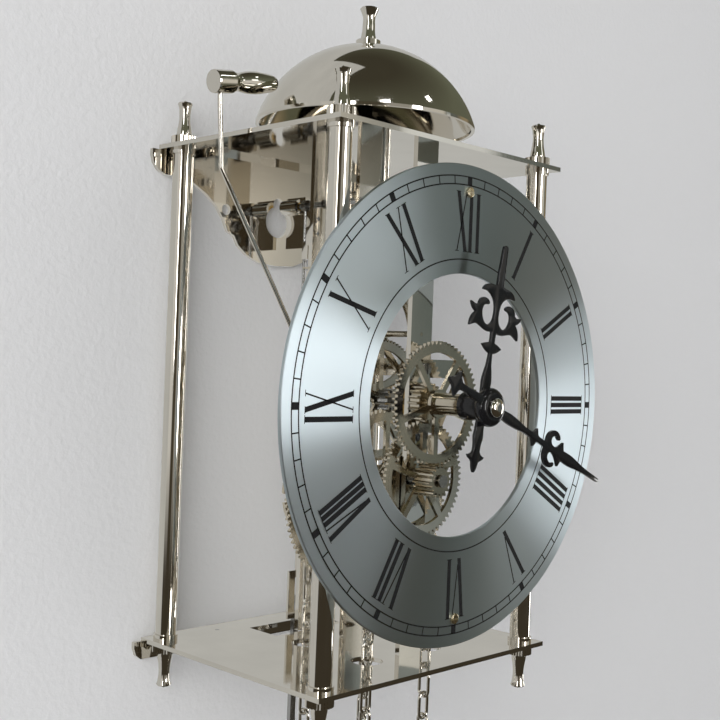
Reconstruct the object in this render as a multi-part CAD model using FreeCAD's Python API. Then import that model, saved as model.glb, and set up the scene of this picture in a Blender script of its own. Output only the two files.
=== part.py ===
import FreeCAD, Part
import math
import os

# Skeleton wall clock with a going train, a striking train, a bell and a pendulum.
# Millimetres. X is to the viewer's right, Y into the wall, Z up.
# The origin is where the wall screw's shank carries the bracket: on the wall, at the
# top of the keyhole. The clock hangs in front of the wall, at negative Y.

# Frame
plate_width = 107.0
plate_depth = 87.0
plate_thickness = 1.5
plate_gap = 163.5
axis_below_top_plate = 81.0
hang_above_axis = 69.0
post_radius = 3.5
post_inset = 5.8
post_collar_radius = 4.1
post_collar_height = 1.6
stud_radius = 1.5
stud_reach = 5.0

# Knurled nuts and finials
nut_radius = 4.3
nut_height = 2.9
nut_ridges = 28
nut_ridge_depth = 0.35
finial_height = 10.9
finial_base_radius = 2.6
finial_waist_radius = 1.85
finial_flare_radius = 2.5
finial_nub_height = 1.3
bell_nut_radius = 4.2
bell_nut_height = 2.0
bell_finial_waist_radius = 2.05
bell_finial_flare_radius = 3.2

# Wall bracket
bracket_thickness = 1.5
bracket_width = 112.0
bracket_ear_height = 8.0
bracket_drop = 34.6
bracket_flange_depth = 14.0
bracket_side_hole_radius = 1.9
bracket_side_hole_x = 24.2
bracket_side_hole_drop = 16.7
keyhole_entry_radius = 5.7
keyhole_slot_width = 4.6
keyhole_entry_drop = 6.5
spacer_height = 6.0
spacer_depth = 8.0

# Dial
dial_diameter = 150.0
dial_opening_diameter = 82.0
dial_thickness = 1.2
dial_standoff = 3.6
dial_screw_offset = 66.5
dial_screw_head_radius = 1.7
dial_screw_head_height = 0.8
dial_foot_radius = 2.0

# Movement bars
bar_width = 10.0
bar_thickness = 1.8
front_bar_from_dial = 17.8
middle_bar_from_dial = 43.6
rear_bar_from_dial = 66.0
bar_arm_width = 6.0
side_arbor_x = 19.6
side_arbor_above_axis = 11.0
bar_tenon_width = 4.0
screw_shank_radius = 0.7
screw_grip = 3.0
front_screw_rise = 11.0
screw_head_radius = 1.9
screw_head_height = 1.0

# Bell
bell_radius = 37.3
bell_height = 28.0
bell_wall = 1.2
bell_lip_height = 1.0
bell_rim_above_plate = 9.3
bell_stand_radius = 2.4

# Hammer
hammer_plane_from_dial = 50.5
hammer_head_length = 24.2
hammer_head_radius = 3.6
hammer_rod_inset = 1.2
hammer_rod_radius = 0.75
hammer_head_x = -62.6
hammer_head_above_axis = 96.0
hammer_head_tip_rise = 4.0
hammer_bend_x = -58.3
hammer_bend_above_axis = 70.2

# Clearances and general fits
running_clearance = 0.05
seat_clearance = 0.03
side_clearance = 0.6
close_clearance = 0.2
lever_thickness = 1.0
overrun = 1.0

# Arbors and pivots
arbor_radius = 1.0
pivot_radius = 0.6
hub_radius = 3.2
wheel_thickness = 1.2
wheel_rim = 2.6
spoke_width = 2.0

# Train heights above the hands' axis
great_drop = 33.0
second_rise = 22.0
fly_rise = 44.0
anchor_rise = 67.5
motion_drop = 24.4

# Teeth
great_teeth = 90
centre_pinion_leaves = 10
centre_teeth = 80
train_pinion_leaves = 8
third_teeth = 80
escape_teeth = 36
escape_radius = 12.6
cannon_leaves = 20
minute_teeth = 60
minute_leaves = 16
hour_teeth = 64
hammer_pins = 10
hammer_pin_circle = 12.0
hammer_pin_radius = 0.6
hammer_pin_length = 2.8
addendum_share = 0.8
dedendum_share = 1.15
backlash_share = 0.22

# Wheel places, measured back from the dial's face
hour_wheel_from_dial = 10.0
minute_wheel_from_dial = 14.7
cannon_from_dial = 13.0
cannon_length = 4.0
minute_pinion_from_dial = 7.4
washer_from_dial = 23.9
washer_radius = 4.3
washer_thickness = 0.5
going_chain_wheel_from_dial = 23.4
great_wheel_from_dial = 31.0
centre_pinion_from_dial = 29.5
centre_pinion_length = 4.5
centre_wheel_from_dial = 35.0
third_pinion_from_dial = 33.6
train_pinion_length = 4.0
third_wheel_from_dial = 38.0
escape_pinion_from_dial = 36.8
escape_wheel_from_dial = 27.4
strike_chain_wheel_from_dial = 51.6
strike_great_wheel_from_dial = 46.1
pin_wheel_from_dial = 58.6
pin_pinion_from_dial = 45.8
pin_pinion_length = 2.9
locking_wheel_from_dial = 54.0
locking_pinion_from_dial = 57.4
fly_pinion_from_dial = 52.8
fly_blade_from_dial = 57.4
fly_blade_length = 6.6
fly_blade_radius = 11.0
fly_blade_thickness = 0.6
count_wheel_from_dial = 61.2
count_wheel_radius = 18.0
count_notch_depth = 2.4
count_notch_width = 1.8

# Hands
hour_pipe_radius = 3.5
hour_pipe_nose_radius = 2.3
hour_pipe_bore = 1.65
hour_pipe_flange_radius = 4.6
cannon_pipe_radius = 1.55
hand_thickness = 1.0
minute_boss_radius = 6.0
minute_boss_rise = 0.8
hour_boss_radius = 4.4
hour_boss_before_dial = 1.3
hour_hand_before_dial = 8.6
minute_hand_before_dial = 12.4
hand_gap = 0.5
hour_hand_length = 51.2
minute_hand_length = 65.0
hour_hand_angle = 10.0
minute_hand_angle = 113.0
hand_nut_radius = 3.0
hand_nut_height = 1.8
hand_curve_steps = 2

# Chains
chain_wire_radius = 0.55
chain_pitch = 7.25
chain_link_width = 5.0
links_over_wheel = 6
load_links = 15
free_links = 17
chain_ring_radius = 4.2
chain_hole_radius = 5.2
chain_wheel_flange = 0.7

# Pendulum and escapement
pendulum_from_dial = 72.0
suspension_rise = 48.0
pendulum_length = 248.0
leader_width = 3.2
leader_thickness = 0.9
leader_eye_radius = 2.6
hook_top_drop = 62.6
hook_width = 10.0
hook_height = 17.0
hook_window_width = 4.2
hook_border = 2.6
rod_width = 2.4
rod_thickness = 1.6
bob_radius = 22.0
bob_thickness = 10.0
rating_nut_radius = 3.6
rating_nut_height = 4.0
rod_tail = 34.0
suspension_block_width = 6.0
suspension_block_height = 4.6
suspension_block_depth = 3.0
suspension_blade_length = 4.0
suspension_blade_thickness = 0.2
cock_fin_x = 1.2
cock_fin_thickness = 1.6
cock_back_from_dial = 87.0
cock_top_rise = 71.0
cock_foot_height = 12.0
cock_boss_front_from_dial = 78.7
cock_boss_radius = 2.6
crutch_from_dial = 75.4
crutch_foot_rise = 30.0
crutch_wire_radius = 0.6
crutch_hub_radius = 2.0
crutch_hub_length = 2.4
bushing_radius = 1.5
anchor_thickness = 2.4
anchor_gap = 1.5
plate_slot_width = 32.0
plate_slot_depth = 14.0

# Weights
weight_radius = 12.0
weight_length = 58.0
weight_edge_radius = 2.5
weight_ring_radius = 2.4
weight_ring_wire_radius = 0.7
weight_stem_height = 3.0
weight_cap_radius = 3.4
weight_cap_height = 1.6

axis_z = -hang_above_axis
plate_back_y = -bracket_thickness
plate_front_y = plate_back_y - plate_depth
dial_y = plate_front_y - dial_standoff
plate_top_z = axis_z + axis_below_top_plate
plate_bottom_z = plate_top_z - plate_gap
bell_y = plate_front_y + plate_depth / 2
pendulum_y = dial_y + pendulum_from_dial
post_x = plate_width / 2 - post_inset
post_front_y = plate_front_y + post_inset
post_back_y = plate_back_y - post_inset
chain_wheel_radius = chain_pitch / 2 / math.sin(math.pi / links_over_wheel / 2)
half_turn = math.pi
quarter_turn = math.pi / 2
UP = FreeCAD.Vector(0, 0, 1)
DOWN = FreeCAD.Vector(0, 0, -1)
BACK = FreeCAD.Vector(0, 1, 0)
FRONT = FreeCAD.Vector(0, -1, 0)
RIGHT = FreeCAD.Vector(1, 0, 0)
parts = {}


def back(distance):
    return dial_y + distance


def vec(x, y, z):
    return FreeCAD.Vector(x, y, z)


def box(x0, x1, y0, y1, z0, z1):
    return Part.makeBox(x1 - x0, y1 - y0, z1 - z0, vec(x0, y0, z0))


def rod_z(x, y, z0, z1, radius):
    return Part.makeCylinder(radius, z1 - z0, vec(x, y, z0), UP)


def rod_y(x, z, y0, y1, radius):
    return Part.makeCylinder(radius, y1 - y0, vec(x, y0, z), BACK)


def fuse(shapes):
    whole = shapes[0]
    if len(shapes) > 1:
        whole = whole.multiFuse(shapes[1:])
    return whole.removeSplitter()


def face_of(points):
    return Part.Face(Part.makePolygon(points + points[:1]))


def slab(outline, y0, thickness):
    points = [vec(x, y0, z) for x, z in outline]
    return face_of(points).extrude(vec(0, thickness, 0))


def turned(profile, x, y, z, axis):
    # The profile is (radius, height) pairs, from the bottom of the piece to its top.
    points = [vec(radius, 0, height) for radius, height in profile]
    solid = face_of(points).revolve(vec(0, 0, 0), UP, 360)
    solid.Placement = FreeCAD.Placement(vec(x, y, z), FreeCAD.Rotation(UP, axis))
    return solid


def turned_spline(base, curve, top, x, y, z, axis):
    # A solid of revolution whose side is one smooth curve between two flat ends.
    side = Part.BSplineCurve()
    side.interpolate([vec(radius, 0, height) for radius, height in curve])
    first = vec(curve[0][0], 0, curve[0][1])
    last = vec(curve[-1][0], 0, curve[-1][1])
    start = [vec(radius, 0, height) for radius, height in base]
    end = [vec(radius, 0, height) for radius, height in top]
    edges = [side.toShape()]
    path = [last] + end + start + [first]
    for a, b in zip(path, path[1:]):
        if (b - a).Length > 0:
            edges.append(Part.makeLine(a, b))
    solid = Part.Face(Part.Wire(edges)).revolve(vec(0, 0, 0), UP, 360)
    solid.Placement = FreeCAD.Placement(vec(x, y, z), FreeCAD.Rotation(UP, axis))
    return solid


def wire_through(points, radius):
    # A bent round wire: straight runs with a ball at each bend.
    pieces = []
    for a, b in zip(points, points[1:]):
        run = b - a
        pieces.append(Part.makeCylinder(radius, run.Length, a, run))
    for bend in points[1:-1]:
        pieces.append(Part.makeSphere(radius, bend))
    return fuse(pieces)


def tooth_flank(teeth, module, steps):
    # (radius, half angle) pairs of one involute flank, root to tip.
    pitch = module * teeth / 2
    root = pitch - dedendum_share * module
    tip = pitch + addendum_share * module
    pressure = math.radians(20)
    base = pitch * math.cos(pressure)
    gap_angle = backlash_share * module / pitch / 2
    half = quarter_turn / teeth - gap_angle
    involute = math.tan(pressure) - pressure
    flank = []
    for step in range(steps):
        radius = root + (tip - root) * step / (steps - 1)
        roll = math.acos(min(1, base / max(radius, base)))
        angle = half + involute - (math.tan(roll) - roll)
        if radius < base:
            angle = angle * (radius / base) ** 1.5
        flank.append((radius, angle))
    return flank


def gear_outline(x, z, teeth, module, phase, steps):
    flank = tooth_flank(teeth, module, steps)
    outline = []
    for tooth in range(teeth):
        middle = phase + 2 * math.pi * tooth / teeth
        for radius, angle in flank:
            outline.append((radius, middle - angle))
        for radius, angle in reversed(flank):
            outline.append((radius, middle + angle))
    return [(x + r * math.cos(a), z + r * math.sin(a)) for r, a in outline]


def mesh_phase(phase, teeth, other_teeth, direction):
    # The phase that puts the other wheel's gap against this wheel's tooth.
    lead = direction - phase
    return direction + half_turn + lead * teeth / other_teeth + half_turn / other_teeth


def gear(x, z, y0, length, teeth, module, phase, steps, bore):
    solid = slab(gear_outline(x, z, teeth, module, phase, steps), y0, length)
    return solid.cut(rod_y(x, z, y0 - overrun, y0 + length + overrun, bore))


def windows(x, z, y0, inner, outer, spokes, turn):
    # The openings between the spokes of a wheel, as solids to cut away.
    cuts = []
    ring = rod_y(x, z, y0 - overrun, y0 + wheel_thickness + overrun, outer)
    ring = ring.cut(rod_y(x, z, y0 - 2 * overrun, y0 + wheel_thickness + 2 * overrun, inner))
    for spoke in range(spokes):
        angle = turn + 360.0 * spoke / spokes
        arm = box(0, outer + overrun, y0 - 2 * overrun, y0 + wheel_thickness + 2 * overrun,
                  -spoke_width / 2, spoke_width / 2)
        arm.Placement = FreeCAD.Placement(vec(x, 0, z), FreeCAD.Rotation(BACK, -angle))
        cuts.append(arm)
    return ring.cut(fuse(cuts))


def crossed_wheel(x, z, y0, teeth, module, phase, spokes, turn, bore):
    root = module * teeth / 2 - dedendum_share * module
    wheel = gear(x, z, y0, wheel_thickness, teeth, module, phase, 3, bore)
    return wheel.cut(windows(x, z, y0, hub_radius, root - wheel_rim, spokes, turn))


def module_for(distance, teeth, other_teeth):
    return 2 * distance / (teeth + other_teeth)


def arbor(x, z, y0, y1, front_pivot, back_pivot):
    # A shaft with a thinner pivot at each end.
    body = rod_y(x, z, y0, y1, arbor_radius)
    return fuse([body, rod_y(x, z, y0 - front_pivot, y1 + back_pivot, pivot_radius)])


great_module = module_for(great_drop, great_teeth, centre_pinion_leaves)
second_module = module_for(second_rise, centre_teeth, train_pinion_leaves)
fly_module = module_for(fly_rise - second_rise, third_teeth, train_pinion_leaves)
cannon_module = module_for(motion_drop, cannon_leaves, minute_teeth)
hour_module = module_for(motion_drop, minute_leaves, hour_teeth)

front_bar_y = back(front_bar_from_dial)
middle_bar_y = back(middle_bar_from_dial)
rear_bar_y = back(rear_bar_from_dial)
great_z = axis_z - great_drop
second_z = axis_z + second_rise
fly_z = axis_z + fly_rise
anchor_z = axis_z + anchor_rise
motion_z = axis_z - motion_drop
side_z = axis_z + side_arbor_above_axis
hammer_tail_y = back(pin_wheel_from_dial) - side_clearance - wheel_thickness
pivot_hole = pivot_radius + running_clearance
arbor_hole = arbor_radius + running_clearance
passing_hole = arbor_radius + side_clearance
whole_pivot = side_clearance + bar_thickness
shared_pivot = side_clearance + bar_thickness / 2 - seat_clearance
post_places = {
    "post_front_left": (-post_x, post_front_y),
    "post_front_right": (post_x, post_front_y),
    "post_back_left": (-post_x, post_back_y),
    "post_back_right": (post_x, post_back_y),
}
chain_places = (
    (-chain_wheel_radius, back(going_chain_wheel_from_dial)),
    (chain_wheel_radius, back(going_chain_wheel_from_dial)),
    (-chain_wheel_radius, back(strike_chain_wheel_from_dial)),
    (chain_wheel_radius, back(strike_chain_wheel_from_dial)),
)
bar_places = (front_bar_y, middle_bar_y, rear_bar_y)
cock_front_y = rear_bar_y + bar_thickness
cock_bottom_z = anchor_z - anchor_rise + suspension_rise + suspension_block_height
cock_screw_x = -bar_width / 4
cock_screw_heights = (cock_bottom_z + cock_foot_height * 0.36,
                      cock_bottom_z + cock_foot_height * 0.78)
front_screw_x = bar_width / 4
front_screw_z = axis_z + front_screw_rise
flange_screw_x = plate_width / 4
flange_screw_y = plate_back_y - bracket_flange_depth / 2


def make_plate(z0):
    plate = box(-plate_width / 2, plate_width / 2, plate_front_y, plate_back_y,
                z0, z0 + plate_thickness)
    for x, y in post_places.values():
        plate = plate.cut(rod_z(x, y, z0 - overrun, z0 + plate_thickness + overrun,
                                stud_radius + seat_clearance))
    half = bar_tenon_width / 2 + seat_clearance
    for y in bar_places:
        plate = plate.cut(box(-half, half, y - seat_clearance,
                              y + bar_thickness + seat_clearance,
                              z0 - overrun, z0 + plate_thickness + overrun))
    for side in (-1, 1):
        plate = plate.cut(rod_z(side * flange_screw_x, flange_screw_y, z0 - overrun,
                                z0 + plate_thickness + overrun,
                                screw_shank_radius + seat_clearance))
    return plate


def make_top_plate():
    plate = make_plate(plate_top_z)
    hole = rod_z(0, bell_y, plate_top_z - overrun, plate_top_z + plate_thickness + overrun,
                 stud_radius + seat_clearance)
    return plate.cut(hole)


def make_bottom_plate():
    z0 = plate_bottom_z - plate_thickness
    plate = make_plate(z0)
    for x, y in chain_places:
        plate = plate.cut(rod_z(x, y, z0 - overrun, plate_bottom_z + overrun, chain_hole_radius))
    middle = pendulum_y
    slot = box(-plate_slot_width / 2, plate_slot_width / 2,
               middle - plate_slot_depth / 2, middle + plate_slot_depth / 2,
               z0 - overrun, plate_bottom_z + overrun)
    return plate.cut(slot)


def make_post(x, y):
    column = [rod_z(x, y, plate_bottom_z, plate_top_z, post_radius)]
    for z0 in (plate_bottom_z, plate_top_z - post_collar_height):
        column.append(rod_z(x, y, z0, z0 + post_collar_height, post_collar_radius))
    reach = plate_thickness + stud_reach
    column.append(rod_z(x, y, plate_bottom_z - reach, plate_top_z + reach, stud_radius))
    return fuse(column)


def knurled_nut(x, y, z, up, radius, height):
    # A nut whose edge is a ring of small ridges, on a stud along Z.
    outline = []
    for ridge in range(nut_ridges):
        for step, edge in ((0, radius), (0.5, radius - nut_ridge_depth)):
            angle = 2 * math.pi * (ridge + step) / nut_ridges
            outline.append((edge * math.cos(angle), edge * math.sin(angle)))
    low = z if up else z - height
    points = [vec(x + px, y + py, low) for px, py in outline]
    nut = face_of(points).extrude(vec(0, 0, height))
    return nut.cut(rod_z(x, y, low - overrun, low + height + overrun,
                         stud_radius + seat_clearance))


def finial(x, y, z, axis, bore_depth, waist_radius, flare_radius):
    # A spool: a wide base, a hollow waist, a flared head and a small rounded nub.
    base_shares = ((0.06, 1.0), (0.15, 0.96), (0.3, 0.85))
    waist_shares = ((0.48, 1.05), (0.62, 1.0), (0.76, 1.06))
    flare_shares = ((0.9, 0.86), (1.0, 1.0))
    curve = []
    for radius, shares in ((finial_base_radius, base_shares), (waist_radius, waist_shares),
                           (flare_radius, flare_shares)):
        curve.extend((radius * share, finial_height * height) for height, share in shares)
    base = [(0, 0), (finial_base_radius, 0)]
    nub = finial_height + finial_nub_height
    top = [(flare_radius * 0.9, finial_height + finial_nub_height * 0.3),
           (flare_radius * 0.4, finial_height + finial_nub_height * 0.5), (0, nub)]
    body = turned_spline(base, curve, top, x, y, z, axis)
    bore = Part.makeCylinder(stud_radius + seat_clearance, bore_depth + overrun,
                             vec(x, y, z) - axis * overrun, axis)
    return body.cut(bore)


def make_finials():
    pieces = []
    bore = stud_reach - nut_height + seat_clearance
    for x, y in post_places.values():
        reach = plate_thickness + nut_height
        for z, axis in ((plate_top_z + reach, UP), (plate_bottom_z - reach, DOWN)):
            pieces.append(finial(x, y, z, axis, bore, finial_waist_radius,
                                 finial_flare_radius))
    return Part.makeCompound(pieces)


def make_knurled_nuts():
    pieces = []
    for x, y in post_places.values():
        top = plate_top_z + plate_thickness
        pieces.append(knurled_nut(x, y, top, True, nut_radius, nut_height))
        low = plate_bottom_z - plate_thickness
        pieces.append(knurled_nut(x, y, low, False, nut_radius, nut_height))
    return Part.makeCompound(pieces)


def bracket_outline():
    # One half of the leaf, from the middle of its foot to its ear, as shares of
    # the half width and of the drop below the plate.
    ear_share = bracket_ear_height / bracket_drop
    shares = ((0.0, 1.0), (0.145, 0.985), (0.25, 0.92), (0.325, 0.83), (0.36, 0.735),
              (0.415, 0.7), (0.45, 0.58), (0.505, 0.465), (0.585, 0.36), (0.69, 0.27),
              (0.8, ear_share), (0.9, ear_share), (0.955, ear_share * 0.86),
              (0.99, ear_share * 0.55), (1.0, ear_share * 0.25), (1.0, 0.0))
    half = bracket_width / 2
    right = [(half * x, plate_top_z - bracket_drop * z) for x, z in shares]
    left = [(-x, z) for x, z in reversed(right)]
    return right + left[:-1]


def make_wall_bracket():
    leaf = slab(bracket_outline(), -bracket_thickness, bracket_thickness)
    flange = box(-plate_width / 2 + nut_radius * 3, plate_width / 2 - nut_radius * 3,
                 plate_back_y - bracket_flange_depth, plate_back_y,
                 plate_top_z - bracket_thickness, plate_top_z)
    bracket = fuse([leaf, flange])
    y0 = -bracket_thickness - overrun
    y1 = overrun
    slot_radius = keyhole_slot_width / 2
    # The slot's round top holds the screw's shank at the origin.
    slot = box(-slot_radius, slot_radius, y0, y1, -keyhole_entry_drop, 0)
    cuts = [slot, rod_y(0, 0, y0, y1, slot_radius),
            rod_y(0, -keyhole_entry_drop, y0, y1, keyhole_entry_radius)]
    for side in (-1, 1):
        cuts.append(rod_y(side * bracket_side_hole_x, plate_top_z - bracket_side_hole_drop,
                          y0, y1, bracket_side_hole_radius))
    bracket = bracket.cut(fuse(cuts))
    for side in (-1, 1):
        bracket = bracket.cut(rod_z(side * flange_screw_x, flange_screw_y,
                                    plate_top_z - bracket_thickness - overrun,
                                    plate_top_z + overrun,
                                    screw_shank_radius + seat_clearance))
    return bracket


def make_lower_spacer():
    # A folded strip under the bottom plate that keeps the clock parallel to the wall.
    top = plate_bottom_z - plate_thickness
    half = bracket_width / 2
    ear_shares = ((1.0, 0.0), (1.0, 0.35), (0.985, 0.75), (0.95, 1.0))
    right = [(half * x, top - spacer_height * z) for x, z in ear_shares]
    left = [(-x, z) for x, z in reversed(right)]
    leaf = slab(right + left, -bracket_thickness, bracket_thickness)
    flange = box(-plate_width / 2 + nut_radius * 3, plate_width / 2 - nut_radius * 3,
                 plate_back_y - spacer_depth, plate_back_y, top - bracket_thickness, top)
    strip = fuse([leaf, flange])
    for side in (-1, 1):
        strip = strip.cut(rod_z(side * flange_screw_x, flange_screw_y,
                                top - bracket_thickness - overrun, top + overrun,
                                screw_shank_radius + seat_clearance))
    return strip


def slotted_screw(place, axis, across, grip):
    # The head stands on its seat along the axis, and the shank runs the other way.
    head = Part.makeCylinder(screw_head_radius, screw_head_height, place, axis)
    slot = Part.makeBox(screw_head_radius * 3, screw_head_radius / 4, screw_head_height,
                        vec(-screw_head_radius * 1.5, -screw_head_radius / 8,
                            screw_head_height / 2))
    slot.Placement = FreeCAD.Placement(place, FreeCAD.Rotation(across, vec(0, 0, 0), axis, "ZXY"))
    shank = Part.makeCylinder(screw_shank_radius, grip, place, axis * -1)
    return fuse([head.cut(slot), shank])


def make_frame_screws():
    pieces = []
    top = plate_top_z + plate_thickness
    low = plate_bottom_z - plate_thickness - bracket_thickness
    through = plate_thickness + bracket_thickness
    for side in (-1, 1):
        x = side * flange_screw_x
        pieces.append(slotted_screw(vec(x, flange_screw_y, top), UP, RIGHT, through))
        pieces.append(slotted_screw(vec(x, flange_screw_y, low), DOWN, RIGHT, through))
    pieces.append(slotted_screw(vec(front_screw_x, front_bar_y, front_screw_z), FRONT, UP,
                                bar_thickness))
    for z in cock_screw_heights:
        pieces.append(slotted_screw(vec(cock_screw_x, cock_front_y + cock_fin_thickness, z),
                                    BACK, UP, screw_grip))
    return Part.makeCompound(pieces)


def make_bar(y0, holes, sides):
    # A flat upright with a tenon in each plate, and an arm for each side arbor.
    y1 = y0 + bar_thickness
    half = bar_width / 2
    tenon = bar_tenon_width / 2
    reach = plate_thickness - seat_clearance
    pieces = [box(-half, half, y0, y1, plate_bottom_z, plate_top_z),
              box(-tenon, tenon, y0, y1, plate_bottom_z - reach, plate_top_z + reach)]
    for side in sides:
        tip = side * side_arbor_x
        pieces.append(box(min(0, tip), max(0, tip), y0, y1,
                          side_z - bar_arm_width / 2, side_z + bar_arm_width / 2))
        pieces.append(rod_y(tip, side_z, y0, y1, bar_arm_width / 2))
    bar = fuse(pieces)
    for x, z, radius in holes:
        bar = bar.cut(rod_y(x, z, y0 - overrun, y1 + overrun, radius))
    return bar


def make_front_bar():
    screw = screw_shank_radius + seat_clearance
    holes = [(0, axis_z, arbor_hole), (side_arbor_x, side_z, arbor_hole),
             (front_screw_x, front_screw_z, screw), (0, motion_z, arbor_radius + seat_clearance)]
    for z in (great_z, second_z, fly_z, anchor_z):
        holes.append((0, z, pivot_hole))
    return make_bar(front_bar_y, holes, (1,))


def make_middle_bar():
    # The stud that the hammer turns on stands on this bar, with a collar at its end.
    holes = [(side_arbor_x, side_z, passing_hole), (0, anchor_z, passing_hole)]
    for z in (great_z, axis_z, second_z, fly_z):
        holes.append((0, z, pivot_hole))
    collar_y = hammer_tail_y + wheel_thickness + close_clearance
    stud = rod_y(-side_arbor_x, side_z, middle_bar_y, collar_y + lever_thickness, arbor_radius)
    collar = rod_y(-side_arbor_x, side_z, collar_y, collar_y + lever_thickness,
                   arbor_radius + side_clearance)
    return fuse([make_bar(middle_bar_y, holes, (-1, 1)), stud, collar])


def make_rear_bar():
    screw = screw_shank_radius + seat_clearance
    holes = [(side_arbor_x, side_z, pivot_hole), (0, anchor_z, passing_hole)]
    for z in (great_z, axis_z, second_z, fly_z):
        holes.append((0, z, pivot_hole))
    for z in cock_screw_heights:
        holes.append((cock_screw_x, z, screw))
    return make_bar(rear_bar_y, holes, (1,))


def make_dial_ring():
    outer = rod_y(0, axis_z, dial_y, dial_y + dial_thickness, dial_diameter / 2)
    ring = outer.cut(rod_y(0, axis_z, dial_y - overrun, dial_y + dial_thickness + overrun,
                           dial_opening_diameter / 2))
    for side in (-1, 1):
        ring = ring.cut(rod_y(0, axis_z + side * dial_screw_offset, dial_y - overrun,
                              dial_y + dial_thickness + overrun,
                              screw_shank_radius + seat_clearance))
    return ring


def make_dial_feet():
    pieces = []
    for side in (-1, 1):
        z = axis_z + side * dial_screw_offset
        foot = rod_y(0, z, dial_y + dial_thickness, front_bar_y, dial_foot_radius)
        hole = rod_y(0, z, dial_y, dial_y + dial_thickness + screw_grip + overrun,
                     screw_shank_radius + seat_clearance)
        pieces.append(foot.cut(hole))
    return Part.makeCompound(pieces)


def make_dial_screws():
    pieces = []
    for side in (-1, 1):
        z = axis_z + side * dial_screw_offset
        height = dial_screw_head_height
        head = rod_y(0, z, dial_y - height, dial_y, dial_screw_head_radius)
        rim = head.Edges
        front = [edge for edge in rim if abs(edge.CenterOfMass.y - (dial_y - height)) < height / 9
                 and edge.Length > dial_screw_head_radius]
        head = head.makeFillet(height / 2, front)
        half = dial_screw_head_radius / 7
        for long_x, long_z in ((dial_screw_head_radius, half), (half, dial_screw_head_radius)):
            head = head.cut(box(-long_x, long_x, dial_y - height - overrun, dial_y - height / 2,
                                z - long_z, z + long_z))
        shank = rod_y(0, z, dial_y, dial_y + dial_thickness + screw_grip, screw_shank_radius)
        pieces.append(fuse([head, shank]))
    return Part.makeCompound(pieces)


bell_rim_z = plate_top_z + plate_thickness + bell_rim_above_plate
bell_top_z = bell_rim_z + bell_height


def cap_radius(radius, height):
    return (radius * radius + height * height) / (2 * height)


def make_bell():
    # A dome that is a part of a sphere, with an upright lip at its rim.
    dome_height = bell_height - bell_lip_height
    inner_radius = bell_radius - bell_wall
    inner_height = dome_height - bell_wall
    outer = cap_radius(bell_radius, dome_height)
    inner = cap_radius(inner_radius, inner_height)
    lip = bell_lip_height

    def dome_point(radius, cap, height):
        return vec(radius, 0, lip + height - cap + math.sqrt(cap * cap - radius * radius))

    bore = stud_radius + seat_clearance
    outer_low = dome_point(bell_radius, outer, dome_height)
    outer_mid = dome_point(bell_radius * 0.6, outer, dome_height)
    outer_top = dome_point(bore, outer, dome_height)
    inner_low = dome_point(inner_radius, inner, inner_height)
    inner_mid = dome_point(inner_radius * 0.6, inner, inner_height)
    inner_top = dome_point(bore, inner, inner_height)
    edges = [Part.Arc(outer_low, outer_mid, outer_top).toShape(),
             Part.makeLine(outer_top, inner_top),
             Part.Arc(inner_top, inner_mid, inner_low).toShape(),
             Part.makeLine(inner_low, vec(inner_radius, 0, 0)),
             Part.makeLine(vec(inner_radius, 0, 0), vec(bell_radius, 0, 0)),
             Part.makeLine(vec(bell_radius, 0, 0), outer_low)]
    bell = Part.Face(Part.Wire(edges)).revolve(vec(0, 0, 0), UP, 360)
    bell.translate(vec(0, bell_y, bell_rim_z))
    return bell


def make_bell_stand():
    seat_z = bell_top_z - bell_wall * 1.1
    low = plate_top_z + plate_thickness
    column = rod_z(0, bell_y, low, seat_z, bell_stand_radius)
    foot = rod_z(0, bell_y, low, low + post_collar_height, post_collar_radius)
    stud = rod_z(0, bell_y, plate_top_z - plate_thickness, bell_top_z + stud_reach, stud_radius)
    return fuse([column, foot, stud])


def make_bell_finial():
    z = bell_top_z + seat_clearance
    nut = rod_z(0, bell_y, z, z + bell_nut_height, bell_nut_radius)
    nut = nut.cut(rod_z(0, bell_y, z - overrun, z + bell_nut_height + overrun,
                        stud_radius + seat_clearance))
    bore = stud_reach - bell_nut_height + seat_clearance
    top = z + bell_nut_height - seat_clearance
    return fuse([nut, finial(0, bell_y, top, UP, bore, bell_finial_waist_radius,
                             bell_finial_flare_radius)])


hammer_y = back(hammer_plane_from_dial)
hammer_head_z = axis_z + hammer_head_above_axis
hammer_rod_x = hammer_head_x + hammer_rod_inset + hammer_rod_radius * 2
hammer_joint_z = hammer_head_z + hammer_head_tip_rise * (
    hammer_rod_x - hammer_head_x) / hammer_head_length
hammer_boss_radius = arbor_radius + hub_radius / 2


def make_hammer_head():
    # Turned: a long striking face at the outer end, a waist, a belly and a blunt nose.
    r = hammer_head_radius
    curve_shares = ((0.29, 0.97), (0.33, 0.86), (0.38, 0.79), (0.46, 0.86), (0.6, 0.98),
                    (0.78, 0.92), (0.95, 0.76))
    curve = [(r * radius, hammer_head_length * along) for along, radius in curve_shares]
    base = [(0, 0), (r * 0.97, 0), (r, hammer_head_length * 0.02), (r, hammer_head_length * 0.27)]
    top = [(r * 0.64, hammer_head_length), (0, hammer_head_length)]
    axis = vec(hammer_head_length, 0, hammer_head_tip_rise)
    head = turned_spline(base, curve, top, hammer_head_x, hammer_y, hammer_head_z, axis)
    hole = rod_z(hammer_rod_x, hammer_y, hammer_joint_z - hammer_head_radius * 2,
                 hammer_joint_z + hammer_rod_radius, hammer_rod_radius + seat_clearance)
    return head.cut(hole)


def hammer_rod_line():
    pivot = vec(-side_arbor_x, hammer_y, side_z)
    bend = vec(hammer_bend_x, hammer_y, axis_z + hammer_bend_above_axis)
    out = bend - pivot
    out.normalize()
    return pivot, bend, out


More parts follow.
